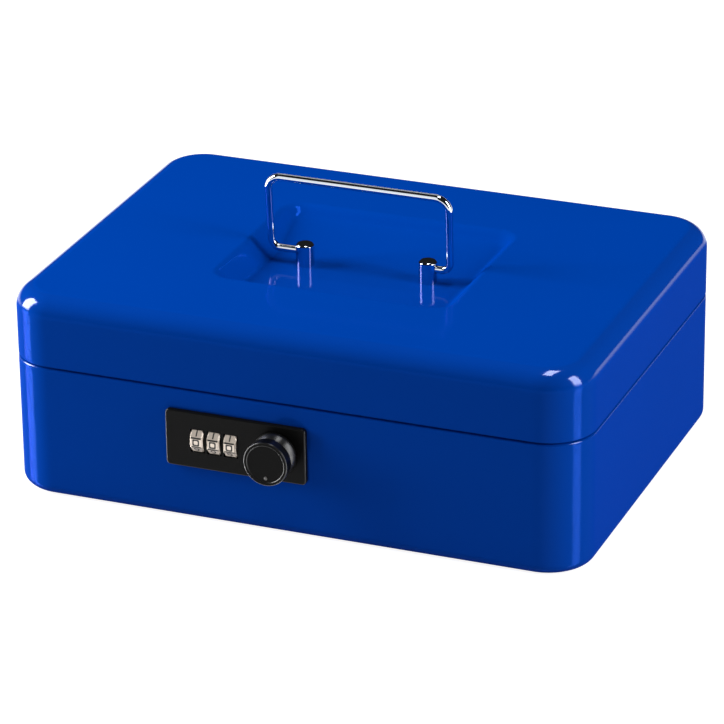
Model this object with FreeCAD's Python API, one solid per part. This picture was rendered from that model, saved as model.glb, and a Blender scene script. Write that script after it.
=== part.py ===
"""Steel cash box with a folding bail handle and a three-wheel combination lock.

Frame: X to the right along the front, Y to the back, Z up, origin at the centre of the underside.
All sizes are in millimetres.
"""
import FreeCAD, Part
import math
import os

from FreeCAD import Vector

# Outside of the box
box_width = 250.0
box_depth = 181.0
box_height = 88.0
parting_height = 58.0
corner_radius = 20.0
lid_edge_radius = 9.0
base_edge_radius = 4.7
sheet = 1.0

# Rim where the lid meets the body
parting_gap = 0.8
shoulder_radius = 0.9
lip_height = 5.0
lip_clearance = 0.4

# Handle recess pressed into the lid
recess_width = 104.0
recess_length = 86.0
recess_depth = 9.0
recess_wall_run = 8.0
recess_corner_radius = 9.0
recess_foot_radius = 4.5
recess_foot_fillet = 3.0
recess_rim_fillet = 3.0
ramp_angle = 9.0
ramp_rise = 5.0
ramp_post_gap = 0.15
back_step = 1.3
crease_radius = 30.0
knee_radius = 8.0

# Bail handle and its posts
wire_diameter = 3.2
bail_leg_spread = 79.6
bail_slide = 2.5
bail_end_inset = 0.3
bail_top_splay = 0.3
bail_reach = 32.7
bail_lean = 4.2
bail_foot_bend = 4.0
bail_top_bend = 5.8
post_spacing = 54.8
post_diameter = 7.8
post_height = 9.9
post_chamfer = 0.6
pivot_above_floor = 6.45
pivot_clearance = 0.15
post_shank_diameter = 4.0
post_shank_length = 7.0
washer_diameter = 10.0
washer_thickness = 0.8
nut_width = 7.0
nut_thickness = 3.2
hole_clearance = 0.15

# Barrel hinge along the back
hinge_end_inset = 5.0
knuckle_count = 9
knuckle_gap = 0.3
barrel_radius = 2.0
hinge_pin_radius = 1.1
hinge_pin_clearance = 0.05
leaf_thickness = 0.8
leaf_edge_gap = 6.0
barrel_clearance = 0.3

# Lock plate on the front wall
plate_width = 61.3
plate_height = 24.7
plate_thickness = 2.0
plate_corner_radius = 1.8
plate_bevel = 0.7
plate_center_x = -21.0
plate_center_z = 36.8

# Number wheels
wheel_count = 3
wheel_facets = 10
wheel_radius = 6.4
wheel_width = 5.6
wheel_pitch = 7.3
wheel_bank_offset = -9.2
wheel_setback = 2.3
wheel_slot_clearance = 0.35
wheel_edge_chamfer = 0.35
wheel_groove_radius = 0.3

# Gate sleeves inside the wheels, and the bolt that slides through them
sleeve_radius = 3.8
sleeve_fit = 0.05
sleeve_end_wall = 1.0
sleeve_cavity_radius = 2.95
spline_width = 1.0
spline_height = 0.5
spline_clearance = 0.1
bolt_radius = 1.1
bolt_clearance = 0.1
lug_height = 2.5
lug_width = 1.2
lug_thickness = 0.9
lug_clearance = 0.25
bolt_travel = 3.2
bolt_left_reach = 2.3
bolt_tab_thickness = 1.6
bolt_tab_height = 6.0
follower_radius = 0.9
follower_clearance = 0.2
follower_rest_radius = 4.8

# Lock case behind the front wall
case_wall = 1.5
case_rib = 1.1
case_side_gap = 0.4
case_cam_gap = 0.6
screw_radius = 1.25
screw_boss_radius = 2.3
screw_head_radius = 2.2
screw_head_height = 1.5
screw_inset = 2.9
screw_plate_depth = 1.4
cover_thickness = 1.3
detent_space = 1.7
detent_thickness = 0.3
detent_gap = 0.3
detent_finger_width = 3.6
detent_finger_span = 13.0
detent_strip_height = 3.0

# Knob, its spindle and what the spindle drives
knob_offset = 17.7
knob_radius = 9.5
knob_length = 10.7
knob_gap = 0.3
knob_collar_length = 3.0
knob_groove_depth = 0.7
knob_groove_width = 0.6
knob_edge = 0.5
knob_face_ring = 1.4
knob_face_depth = 0.35
knob_bore_depth = 8.0
index_radius = 0.75
index_height = 0.3
index_place = 6.3
index_sink = 0.4
spindle_radius = 3.0
spindle_flat = 2.4
spindle_clearance = 0.1
spindle_fit = 0.05
scroll_thickness = 2.0
scroll_margin = 1.3
scroll_hub_radius = 3.9
scroll_place = 1.7
latch_gap = 3.0
latch_running_gap = 0.3
latch_thickness = 1.8
latch_hub_radius = 5.5
latch_inner_radius = 12.5
latch_outer_radius = 15.5
latch_tip_angle = 165.0
latch_tail_angle = 220.0
latch_arm_angle = 15.0
cam_nut_width = 9.0
cam_nut_thickness = 2.8

# Lever that sets the code, on the lock cover
lever_travel = 3.0
lever_stem = 2.0
lever_clearance = 0.15
lever_thumb_width = 6.0
lever_thumb_height = 3.6
lever_thumb_thickness = 1.4
lever_foot_thickness = 0.6
lever_drop = 8.8

# Striker in the lid
striker_thickness = 1.5
striker_width = 22.0
striker_lip_gap = 3.5
striker_edge_gap = 1.5
striker_side_gap = 0.5
striker_cover_gap = 1.0
striker_bar = 1.8

# Coin tray and the ledges that carry it
tray_clearance = 2.0
tray_corner_ease = 2.0
tray_below_parting = 1.0
tray_rim_thickness = 2.0
tray_rim_width = 5.5
tray_wall = 1.5
tray_depth = 27.0
tray_lock_clearance = 2.0
cup_count = 5
cup_length = 72.0
till_corner_radius = 6.0
till_floor_radius = 3.0
ledge_thickness = 1.0
ledge_height = 8.0
ledge_width = 7.0
ledge_end_inset = 10.0

# Places worked out from the sizes above
front = -box_depth / 2
back = box_depth / 2
half_width = box_width / 2
front_inside = front + sheet
back_inside = back - sheet
body_top = parting_height - parting_gap / 2
lid_bottom = parting_height + parting_gap / 2
lip_inset = sheet + lip_clearance
lip_inside = lip_inset + sheet
recess_floor = box_height - recess_depth
lip_top = parting_height + lip_height
lid_wall_top = box_height - lid_edge_radius
hinge_length = box_width - 2 * (corner_radius + hinge_end_inset)
leaf_height = lid_wall_top - leaf_edge_gap - parting_height
hinge_y = back_inside - leaf_thickness + barrel_radius
hinge_z = parting_height
hinge_relief = barrel_radius + barrel_clearance
pivot_z = recess_floor + pivot_above_floor
plate_front = front - plate_thickness
wheel_y = front + wheel_setback
wheel_bank_x = plate_center_x + wheel_bank_offset
knob_x = plate_center_x + knob_offset
lock_z = plate_center_z
cover_front = wheel_y + wheel_radius + detent_space
cover_back = cover_front + cover_thickness
scroll_radius = follower_rest_radius + bolt_travel + follower_radius + follower_clearance + scroll_margin
case_left = wheel_bank_x - (wheel_count - 1) / 2 * wheel_pitch - wheel_width / 2 - case_side_gap - case_wall
case_right = knob_x + scroll_radius + case_cam_gap + case_wall
case_half_height = scroll_radius + case_cam_gap + case_wall
web_left = wheel_bank_x + (wheel_count - 1) / 2 * wheel_pitch + wheel_width / 2 + case_side_gap
latch_front = cover_back + latch_gap
latch_back = latch_front + latch_thickness
spindle_end = latch_back + cam_nut_thickness
knob_base = plate_front - knob_gap
knob_front = knob_base - knob_length
tray_front = spindle_end + tray_lock_clearance
tray_top = parting_height - tray_below_parting
striker_web_low = lip_top + striker_lip_gap
striker_web_top = striker_web_low + striker_thickness
striker_flange_top = lid_wall_top - striker_edge_gap
wire_radius = wire_diameter / 2
post_radius = post_diameter / 2
ramp_slope = math.tan(math.radians(ramp_angle))
ramp_start = post_radius + ramp_post_gap + crease_radius * math.tan(math.radians(ramp_angle / 2))
ramp_end = ramp_start + ramp_rise / ramp_slope


# Helpers for plain solids
def block(x0, x1, y0, y1, z0, z1):
    """A box between two corners."""
    return Part.makeBox(x1 - x0, y1 - y0, z1 - z0, Vector(x0, y0, z0))


def rod_x(x0, x1, y, z, radius):
    """A cylinder along X."""
    return Part.makeCylinder(radius, x1 - x0, Vector(x0, y, z), Vector(1, 0, 0))


def rod_y(y0, y1, x, z, radius):
    """A cylinder along Y."""
    return Part.makeCylinder(radius, y1 - y0, Vector(x, y0, z), Vector(0, 1, 0))


def rod_z(z0, z1, x, y, radius):
    """A cylinder along Z."""
    return Part.makeCylinder(radius, z1 - z0, Vector(x, y, z0), Vector(0, 0, 1))


def rounded_rectangle(x0, x1, y0, y1, radius, z):
    """A flat wire of four lines and four quarter arcs, starting on the front edge."""
    edges = []
    corners = ((x1, y0, -90), (x1, y1, 0), (x0, y1, 90), (x0, y0, 180))
    centers = []
    for x, y, start in corners:
        cx = x - radius if x == x1 else x + radius
        cy = y - radius if y == y1 else y + radius
        centers.append((cx, cy, start))
    last = Vector(centers[-1][0], y0, z)
    for cx, cy, start in centers:
        points = []
        for turn in (0, 45, 90):
            angle = math.radians(start + turn)
            points.append(Vector(cx + radius * math.cos(angle), cy + radius * math.sin(angle), z))
        edges.append(Part.LineSegment(last, points[0]).toShape())
        edges.append(Part.Arc(*points).toShape())
        last = points[2]
    return Part.Wire(edges)


def rounded_prism(x0, x1, y0, y1, radius, z0, z1):
    """An upright prism with rounded corners."""
    return Part.Face(rounded_rectangle(x0, x1, y0, y1, radius, z0)).extrude(Vector(0, 0, z1 - z0))


def box_prism(inset, z0, z1):
    """The outline of the box, drawn in by an inset, as an upright prism."""
    x = half_width - inset
    y = box_depth / 2 - inset
    return rounded_prism(-x, x, -y, y, corner_radius - inset, z0, z1)


def edges_at(shape, z):
    """The edges of a shape that lie flat at one height."""
    found = []
    for edge in shape.Edges:
        limits = edge.BoundBox
        if abs(limits.ZMin - z) < 1e-4 and abs(limits.ZMax - z) < 1e-4:
            found.append(edge)
    return found


def hexagon_y(width, y0, y1, x, z):
    """A hexagonal prism along Y, given its width across the flats."""
    radius = width / math.sqrt(3)
    points = []
    for corner in range(7):
        angle = math.radians(60 * corner)
        points.append(Vector(x + radius * math.cos(angle), y0, z + radius * math.sin(angle)))
    return Part.Face(Part.makePolygon(points)).extrude(Vector(0, y1 - y0, 0))


def polar(x, z, radius, degrees, y):
    """A point at an angle round a Y axis, counted from +X towards +Z."""
    angle = math.radians(degrees)
    return Vector(x + radius * math.cos(angle), y, z + radius * math.sin(angle))


# Body
def body_form(inset):
    """The drawn lower box with its shoulder and lip, drawn in by an inset."""
    wall = box_prism(inset, inset, body_top - inset)
    wall = wall.makeFillet(base_edge_radius - inset, edges_at(wall, inset))
    if inset < shoulder_radius:
        wall = wall.makeFillet(shoulder_radius - inset, edges_at(wall, body_top - inset))
    lip = box_prism(lip_inset + inset, parting_height / 2, lip_top + inset)
    return wall.fuse(lip)


def lock_screw_places():
    """The X and Z places of the four lock screws."""
    places = []
    for x in (case_left + screw_inset, case_right - screw_inset):
        for side in (-1, 1):
            places.append((x, lock_z + side * (case_half_height - screw_inset)))
    return places


def make_body_shell():
    """The lower box with the hinge gap and the lock openings."""
    shell = body_form(0).cut(body_form(sheet))
    reach = hinge_length / 2 + barrel_clearance
    shell = shell.cut(block(-reach, reach, back - 2 * lip_inside, back + 1,
                            hinge_z - hinge_relief, box_height))
    window = wheel_radius + wheel_slot_clearance
    y0 = front - 1
    y1 = front_inside + 1
    openings = [block(case_left + case_wall, web_left, y0, y1, lock_z - window, lock_z + window)]
    openings.append(rod_y(y0, y1, knob_x, lock_z, spindle_radius + spindle_clearance))
    for x, z in lock_screw_places():
        openings.append(rod_y(y0, y1, x, z, screw_radius + hole_clearance))
    return shell.cut(openings)


def make_tray_ledge(side):
    """An angle strip welded inside one side wall, with its shelf at the top."""
    wall = half_width - sheet
    ends = box_depth / 2 - corner_radius - ledge_end_inset
    top = tray_top - tray_rim_thickness
    upright = block(wall - ledge_thickness, wall, -ends, ends, top - ledge_height, top)
    shelf = block(wall - ledge_width, wall, -ends, ends, top - ledge_thickness, top)
    ledge = upright.fuse(shelf).removeSplitter()
    if side < 0:
        ledge = ledge.mirror(Vector(0, 0, 0), Vector(1, 0, 0))
    return ledge


# Hinge
def knuckle_spans(first):
    """The X spans of every second knuckle, from the first or the second one on."""
    pitch = hinge_length / knuckle_count
    spans = []
    for index in range(first, knuckle_count, 2):
        left = -hinge_length / 2 + index * pitch
        spans.append((left + knuckle_gap / 2, left + pitch - knuckle_gap / 2))
    return spans


def make_hinge_leaf(direction, first):
    """A leaf welded inside a back wall, with its knuckles; direction is 1 upwards and -1 downwards."""
    leaf_front = back_inside - leaf_thickness
    near = hinge_z + direction * hinge_relief
    far = hinge_z + direction * leaf_height
    low, high = sorted((near, far))
    leaf = block(-hinge_length / 2, hinge_length / 2, leaf_front, back_inside, low, high)
    bore = hinge_pin_radius + hinge_pin_clearance
    pieces = []
    for x0, x1 in knuckle_spans(first):
        low, high = sorted((hinge_z, near))
        pieces.append(block(x0, x1, leaf_front, back_inside, low, high))
        pieces.append(rod_x(x0, x1, hinge_y, hinge_z, barrel_radius))
    leaf = leaf.fuse(pieces).removeSplitter()
    return leaf.cut(rod_x(-hinge_length, hinge_length, hinge_y, hinge_z, bore))


def make_hinge_pin():
    """The pin through all knuckles."""
    return rod_x(-hinge_length / 2, hinge_length / 2, hinge_y, hinge_z, hinge_pin_radius)


# Lid
def lid_form(inset):
    """The drawn lid without its recess, drawn in by an inset and open downwards."""
    top = box_height - inset
    form = box_prism(inset, lid_bottom - inset, top)
    return form.makeFillet(lid_edge_radius - inset, edges_at(form, top))


def recess_bowl(grow):
    """The recess with four sloping sides and a flat floor, grown by a wall thickness."""
    run = recess_wall_run / recess_depth
    spread = grow * math.hypot(1, run)
    floor = recess_floor - grow
    wires = []
    for z in (floor, box_height + recess_rim_fillet):
        draw_in = (box_height - z) * run - spread
        share = (z - recess_floor) / recess_depth
        radius = recess_foot_radius + (recess_corner_radius - recess_foot_radius) * share + grow
        x = recess_width / 2 - draw_in
        y = recess_length / 2 - draw_in
        wires.append(rounded_rectangle(-x, x, -y, y, radius, z))
    bowl = Part.makeLoft(wires, True, True)
    return bowl.makeFillet(recess_foot_fillet + grow, edges_at(bowl, floor))


def recess_ramp(grow):
    """All space above the recess floor, its ramp and its back wall, grown by a wall thickness."""
    floor = recess_floor - grow
    reach = box_depth
    wall_height = recess_depth - ramp_rise - back_step
    wall_top = recess_length / 2 - back_step * recess_wall_run / recess_depth
    wall_slope = wall_height / (wall_top - ramp_end)
    ramp_drop = grow * math.hypot(1, ramp_slope)
    wall_drop = grow * math.hypot(1, wall_slope)
    foot = ramp_start + (ramp_drop - grow) / ramp_slope
    knee = ramp_end + (wall_drop - ramp_drop) / (wall_slope - ramp_slope)
    knee_z = recess_floor + (knee - ramp_start) * ramp_slope - ramp_drop
    end = knee + reach
    side = -recess_width
    points = [Vector(side, -reach, floor), Vector(side, foot, floor), Vector(side, knee, knee_z)]
    points.append(Vector(side, end, knee_z + reach * wall_slope))
    under = bent_path(points, (crease_radius + grow, knee_radius + grow))
    over = [points[-1], Vector(side, end, 2 * reach), Vector(side, -reach, 2 * reach), points[0]]
    outline = Part.Wire(under.Edges + Part.makePolygon(over).Edges)
    return Part.Face(outline).extrude(Vector(2 * recess_width, 0, 0))


def recess_form(grow):
    """The space of the handle recess, with its ramp to the back, grown by a wall thickness."""
    return recess_bowl(grow).common(recess_ramp(grow))


def post_places():
    """The X places of the two handle posts."""
    return (-post_spacing / 2, post_spacing / 2)


def make_lid_shell():
    """The lid with its recess, the post holes and the hinge gap."""
    outside = lid_form(0).cut(recess_form(0))
    outside = outside.makeFillet(recess_rim_fillet, recess_rim(outside))
    inside = lid_form(sheet).cut(recess_form(sheet))
    shell = outside.cut(inside)
    reach = hinge_length / 2 + barrel_clearance
    cuts = [block(-reach, reach, back - 2 * lip_inside, back + 1, parting_height, hinge_z + hinge_relief)]
    hole = post_shank_diameter / 2 + hole_clearance
    for x in post_places():
        cuts.append(rod_z(recess_floor - 2 * sheet, recess_floor + 1, x, 0, hole))
    return shell.cut(cuts)


def recess_rim(outside):
    """The edges of the lid's top face that run round the recess."""
    rim = []
    for edge in edges_at(outside, box_height):
        limits = edge.BoundBox
        within_width = max(abs(limits.XMin), abs(limits.XMax)) < recess_width / 2 + 1
        within_length = max(abs(limits.YMin), abs(limits.YMax)) < recess_length / 2 + 1
        if within_width and within_length:
            rim.append(edge)
    return rim


def make_lid_striker():
    """A bracket welded in the lid, with an ear that hangs behind the lock and takes the latch."""
    ear_x = knob_x - striker_thickness / 2
    ear_front = cover_back + striker_cover_gap
    hole_front = latch_front - striker_side_gap
    hole_back = latch_back + striker_side_gap
    ear_back = hole_back + (hole_front - ear_front)
    hole_low = lock_z + latch_inner_radius - striker_side_gap
    hole_high = lock_z + latch_outer_radius + striker_side_gap
    left = knob_x - striker_width / 2
    right = knob_x + striker_width / 2
    flange = block(left, right, front_inside, front_inside + striker_thickness,
                   striker_web_low, striker_flange_top)
    web = block(left, right, front_inside, ear_back, striker_web_low, striker_web_top)
    ear = block(ear_x, ear_x + striker_thickness, ear_front, ear_back,
                hole_low - striker_bar, striker_web_top)
    slot = block(left, right, hole_front, hole_back, hole_low, hole_high)
    return flange.fuse([web, ear]).removeSplitter().cut(slot)


# Handle
def make_handle_post(x):
    """A turned post on the recess floor, with a cross hole and a shank through the lid."""
    top = recess_floor + post_height
    post = rod_z(recess_floor, top, x, 0, post_radius)
    post = post.makeChamfer(post_chamfer, edges_at(post, top))
    shank = rod_z(recess_floor - post_shank_length, recess_floor, x, 0, post_shank_diameter / 2)
    hole = rod_x(x - post_diameter, x + post_diameter, 0, pivot_z, wire_radius + pivot_clearance)
    return post.fuse(shank).cut(hole)


def make_post_washers():
    """One washer under the lid on each post shank."""
    top = recess_floor - sheet
    washers = []
    for x in post_places():
        washer = rod_z(top - washer_thickness, top, x, 0, washer_diameter / 2)
        washers.append(washer.cut(rod_z(top - 2, top + 1, x, 0, post_shank_diameter / 2 + hole_clearance)))
    return Part.makeCompound(washers)


def make_post_nuts():
    """One hexagonal nut under each washer."""
    top = recess_floor - sheet - washer_thickness
    bore = post_shank_diameter / 2 + sleeve_fit
    nuts = []
    for x in post_places():
        nut = hexagon_y(nut_width, 0, nut_thickness, 0, 0)
        nut.rotate(Vector(0, 0, 0), Vector(1, 0, 0), -90)
        nut.translate(Vector(x, 0, top))
        nuts.append(nut.cut(rod_z(top - nut_thickness - 1, top + 1, x, 0, bore)))
    return Part.makeCompound(nuts)


def bent_path(points, radii):
    """A wire of straight runs joined by tangent arcs, one radius for each inner point."""
    edges = []
    last = points[0]
    for index, radius in enumerate(radii):
        corner = points[index + 1]
        before = (corner - points[index]).normalize()
        after = (points[index + 2] - corner).normalize()
        half_turn = before.getAngle(after) / 2
        tangent = radius * math.tan(half_turn)
        inward = (after - before).normalize()
        middle = corner + inward * (radius / math.cos(half_turn) - radius)
        start = corner - before * tangent
        end = corner + after * tangent
        edges.append(Part.LineSegment(last, start).toShape())
        edges.append(Part.Arc(start, middle, end).toShape())
        last = end
    edges.append(Part.LineSegment(last, points[-1]).toShape())
    return Part.Wire(edges)


def make_handle_bail():
    """The bent wire handle, leaning forward and slid to the left in its two posts."""
    foot = bail_leg_spread / 2
    head = foot + bail_top_splay
    end = post_spacing / 2 - post_radius + bail_slide + bail_end_inset
    top = pivot_z + bail_reach
    points = [Vector(-end, 0, pivot_z), Vector(-foot, 0, pivot_z), Vector(-head, 0, top)]
    points += [Vector(head, 0, top), Vector(foot, 0, pivot_z), Vector(end, 0, pivot_z)]
    path = bent_path(points, (bail_foot_bend, bail_top_bend, bail_top_bend, bail_foot_bend))
    section = Part.Wire([Part.makeCircle(wire_radius, points[0], Vector(1, 0, 0))])
    bail = path.makePipeShell([section], True, True)
    bail.rotate(Vector(0, 0, pivot_z), Vector(1, 0, 0), bail_lean)
    bail.translate(Vector(-bail_slide, 0, 0))
    return bail


# Lock plate, case and cover
def wheel_places():
    """The X places of the number wheels, from left to right."""
    first = wheel_bank_x - (wheel_count - 1) / 2 * wheel_pitch
    return [first + index * wheel_pitch for index in range(wheel_count)]


def make_lock_plate():
    """The front plate with a bevelled edge, three wheel slots and the spindle hole."""
    outline = rounded_prism(plate_center_x - plate_width / 2, plate_center_x + plate_width / 2,
                            -plate_height / 2, plate_height / 2, plate_corner_radius, 0, plate_thickness)
    outline = outline.makeChamfer(plate_bevel, edges_at(outline, plate_thickness))
    outline.rotate(Vector(0, 0, 0), Vector(1, 0, 0), 90)
    outline.translate(Vector(0, front, lock_z))
    depth = wheel_y - plate_front
    reach = math.sqrt(wheel_radius ** 2 - depth ** 2) if depth < wheel_radius else 0
    inner_depth = wheel_y - front
    inner_reach = math.sqrt(wheel_radius ** 2 - inner_depth ** 2)
    half = wheel_width / 2 + wheel_slot_clearance
    low = reach + wheel_slot_clearance
    deep = inner_reach + wheel_slot_clearance
    profile = [(front + 1, deep), (front, deep), (plate_front, low), (plate_front - 1, low)]
    cuts = []
    for x in wheel_places():
        points = [Vector(x - half, y, lock_z - tall) for y, tall in profile]
        points += [Vector(x - half, y, lock_z + tall) for y, tall in reversed(profile)]
        slot = Part.Face(Part.makePolygon(points + points[:1])).extrude(Vector(2 * half, 0, 0))
        cuts.append(slot)
    cuts.append(rod_y(plate_front - 1, front + 1, knob_x, lock_z, spindle_radius + spindle_clearance))
    for x, z in lock_screw_places():
        cuts.append(rod_y(front - screw_plate_depth, front + 1, x, z, screw_radius + sleeve_fit))
    return outline.cut(cuts)


def bolt_way(x0, x1):
    """The space that the bolt and its lugs need, along X."""
    radius = bolt_radius + bolt_clearance
    way = rod_x(x0, x1, wheel_y, lock_z, radius)
    half = lug_width / 2 + lug_clearance
    top = lock_z + lug_height + lug_clearance
    return way.fuse(block(x0, x1, wheel_y - half, wheel_y + half, lock_z, top))


def make_lock_housing():
    """The lock case: four walls, ribs between the wheels, a web beside them and screw bosses."""
    low = lock_z - case_half_height
    high = lock_z + case_half_height
    outside = block(case_left, case_right, front_inside, cover_front, low, high)
    inside = block(case_left + case_wall, case_right - case_wall, front_inside - 1, cover_front + 1,
                   low + case_wall, high - case_wall)
    case = outside.cut(inside)
    additions = [block(web_left, web_left + case_wall, front_inside, cover_front, low, high)]
    rib_back = cover_front - detent_space
    for x in wheel_places()[:-1]:
        rib_left = x + (wheel_pitch - case_rib) / 2
        additions.append(block(rib_left, rib_left + case_rib, front_inside, rib_back, low, high))
    for x, z in lock_screw_places():
        boss = rod_y(front_inside, cover_front, x, z, screw_boss_radius)
        additions.append(boss.common(outside))
    case = case.fuse(additions).removeSplitter()
    cuts = [bolt_way(case_left - 1, web_left + case_wall + 1)]
    for x, z in lock_screw_places():
        cuts.append(rod_y(front_inside - 1, cover_front + 1, x, z, screw_radius + hole_clearance))
    return case.cut(cuts)


def lever_place():
    """The X and Z place of the code lever's stem at rest."""
    return wheel_bank_x, lock_z - lever_drop


def make_lock_cover():
    """The plate that closes the lock case, with the spindle hole and the lever slot."""
    cover = block(case_left, case_right, cover_front, cover_back,
                  lock_z - case_half_height, lock_z + case_half_height)
    cuts = [rod_y(cover_front - 1, cover_back + 1, knob_x, lock_z, spindle_radius + spindle_clearance)]
    for x, z in lock_screw_places():
        cuts.append(rod_y(cover_front - 1, cover_back + 1, x, z, screw_radius + hole_clearance))
    x, z = lever_place()
    half = lever_stem / 2 + lever_clearance
    cuts.append(block(x - half, x + lever_travel + half, cover_front - 1, cover_back + 1, z - half, z + half))
    return cover.cut(cuts)


def make_lock_screws():
    """Four screws from the back of the cover into the plate."""
    screws = []
    for x, z in lock_screw_places():
        shank = rod_y(front - screw_plate_depth + sleeve_fit, cover_back, x, z, screw_radius)
        head_top = cover_back + screw_head_height
        head = rod_y(cover_back, head_top, x, z, screw_head_radius)
        socket = hexagon_y(screw_head_radius, head_top - screw_head_height / 2, head_top, x, z)
        screws.append(shank.fuse(head).cut(socket))
    return Part.makeCompound(screws)


def make_detent_spring():
    """A leaf on the cover's inside, with one bowed finger behind each wheel."""
    crest = wheel_y + wheel_radius + detent_gap
    seat = cover_front
    half = detent_finger_span / 2
    places = wheel_places()
    width = detent_finger_width / 2
    strip = block(places[0] - width, places[-1] + width, seat - detent_thickness, seat,
                  lock_z + half - detent_strip_height, lock_z + half)
    fingers = []
    foot = half - detent_strip_height
    for x in places:
        left = x - width
        inner = Part.Arc(Vector(left, seat - detent_thickness, lock_z - half), Vector(left, crest, lock_z),
                         Vector(left, seat - detent_thickness, lock_z + foot)).toShape()
        outer = Part.Arc(Vector(left, seat, lock_z + foot), Vector(left, crest + detent_thickness, lock_z),
                         Vector(left, seat, lock_z - half)).toShape()
        top = Part.LineSegment(Vector(left, seat - detent_thickness, lock_z + foot),
                               Vector(left, seat, lock_z + foot)).toShape()
        tip = Part.LineSegment(Vector(left, seat, lock_z - half),
                               Vector(left, seat - detent_thickness, lock_z - half)).toShape()
        fingers.append(Part.Face(Part.Wire([inner, top, outer, tip])).extrude(Vector(2 * width, 0, 0)))
    return strip.fuse(fingers).removeSplitter()


# Wheels, sleeves and bolt
def make_number_wheel(x):
    """A ten-sided wheel, grooved between its flats, with notches that fit its sleeve's spline."""
    left = x - wheel_width / 2
    points = []
    for corner in range(wheel_facets + 1):
        angle = math.radians(360 / wheel_facets * (corner + 0.5) + 180)
        y = wheel_y + wheel_radius * math.cos(angle)
        points.append(Vector(left, y, lock_z + wheel_radius * math.sin(angle)))
    wheel = Part.Face(Part.makePolygon(points)).extrude(Vector(wheel_width, 0, 0))
    ends = []
    for edge in wheel.Edges:
        if edge.BoundBox.XLength < 1e-4:
            ends.append(edge)
    wheel = wheel.makeChamfer(wheel_edge_chamfer, ends)
    cuts = [rod_x(left - 1, left + wheel_width + 1, wheel_y, lock_z, sleeve_radius + sleeve_fit)]
    for corner in points[1:]:
        cuts.append(rod_x(left - 1, left + wheel_width + 1, corner.y, corner.z, wheel_groove_radius))
    half = spline_width / 2 + spline_clearance
    reach = sleeve_radius + spline_height + spline_clearance
    for notch in range(wheel_facets):
        cut = block(left - 1, left + wheel_width + 1, wheel_y - half, wheel_y + half, lock_z - reach, lock_z)
        cut.rotate(Vector(x, wheel_y, lock_z), Vector(1, 0, 0), 360 / wheel_facets * notch)
        cuts.append(cut)
    return wheel.cut(cuts)


def make_wheel_sleeve(x):
    """A sleeve with one outside spline, a gate slot along it and a round space between its end walls."""
    left = x - wheel_width / 2
    right = x + wheel_width / 2
    sleeve = rod_x(left, right, wheel_y, lock_z, sleeve_radius)
    half = spline_width / 2
    spline_low = lock_z - sleeve_radius - spline_height
    spline = block(left, right, wheel_y - half, wheel_y + half, spline_low, lock_z)
    sleeve = sleeve.fuse(spline).removeSplitter()
    cavity = rod_x(left + sleeve_end_wall, right - sleeve_end_wall, wheel_y, lock_z, sleeve_cavity_radius)
    return sleeve.cut([bolt_way(left - 1, right + 1), cavity])


def follower_rest_x():
    """The X place of the follower pin at rest."""
    return knob_x - follower_rest_radius


def make_toothed_bolt():
    """The sliding bolt: a rod with one lug for each wheel and a flat tab towards the scroll cam."""
    pin_x = follower_rest_x()
    tab_right = pin_x + follower_radius + follower_clearance
    tab_left = pin_x - bolt_tab_height / 2
    rod_left = case_left - bolt_left_reach
    bolt = rod_x(rod_left, pin_x, wheel_y, lock_z, bolt_radius)
    rest = (wheel_pitch - bolt_travel * 2) / 2
    lugs = []
    for x in wheel_places():
        middle = x - rest
        lug = block(middle - lug_thickness / 2, middle + lug_thickness / 2, wheel_y - lug_width / 2,
                    wheel_y + lug_width / 2, lock_z, lock_z + lug_height)
        lugs.append(lug)
    half = bolt_tab_thickness / 2
    tab = block(tab_left, tab_right, wheel_y - half, wheel_y + half,
                lock_z - bolt_tab_height / 2, lock_z + bolt_tab_height / 2)
    bolt = bolt.fuse(lugs + [tab]).removeSplitter()
    return bolt.cut(rod_y(wheel_y - half - 1, wheel_y + half + 1, pin_x, lock_z, follower_radius))


def scroll_front():
    """The Y place of the scroll cam's front face."""
    return wheel_y + bolt_tab_thickness / 2 + scroll_place


def make_follower_pin():
    """The pin in the bolt's tab that rides in the scroll cam's slot."""
    return rod_y(wheel_y - bolt_tab_thickness / 2, scroll_front() + scroll_thickness,
                 follower_rest_x(), lock_z, follower_radius)


# Knob, spindle and cams
def spindle_form(y0, y1, clearance):
    """A round shaft with two flats, along Y."""
    flat = spindle_flat + clearance
    tall = spindle_radius + 1
    sides = block(knob_x - flat, knob_x + flat, y0, y1, lock_z - tall, lock_z + tall)
    return rod_y(y0, y1, knob_x, lock_z, spindle_radius + clearance).common(sides)


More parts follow.
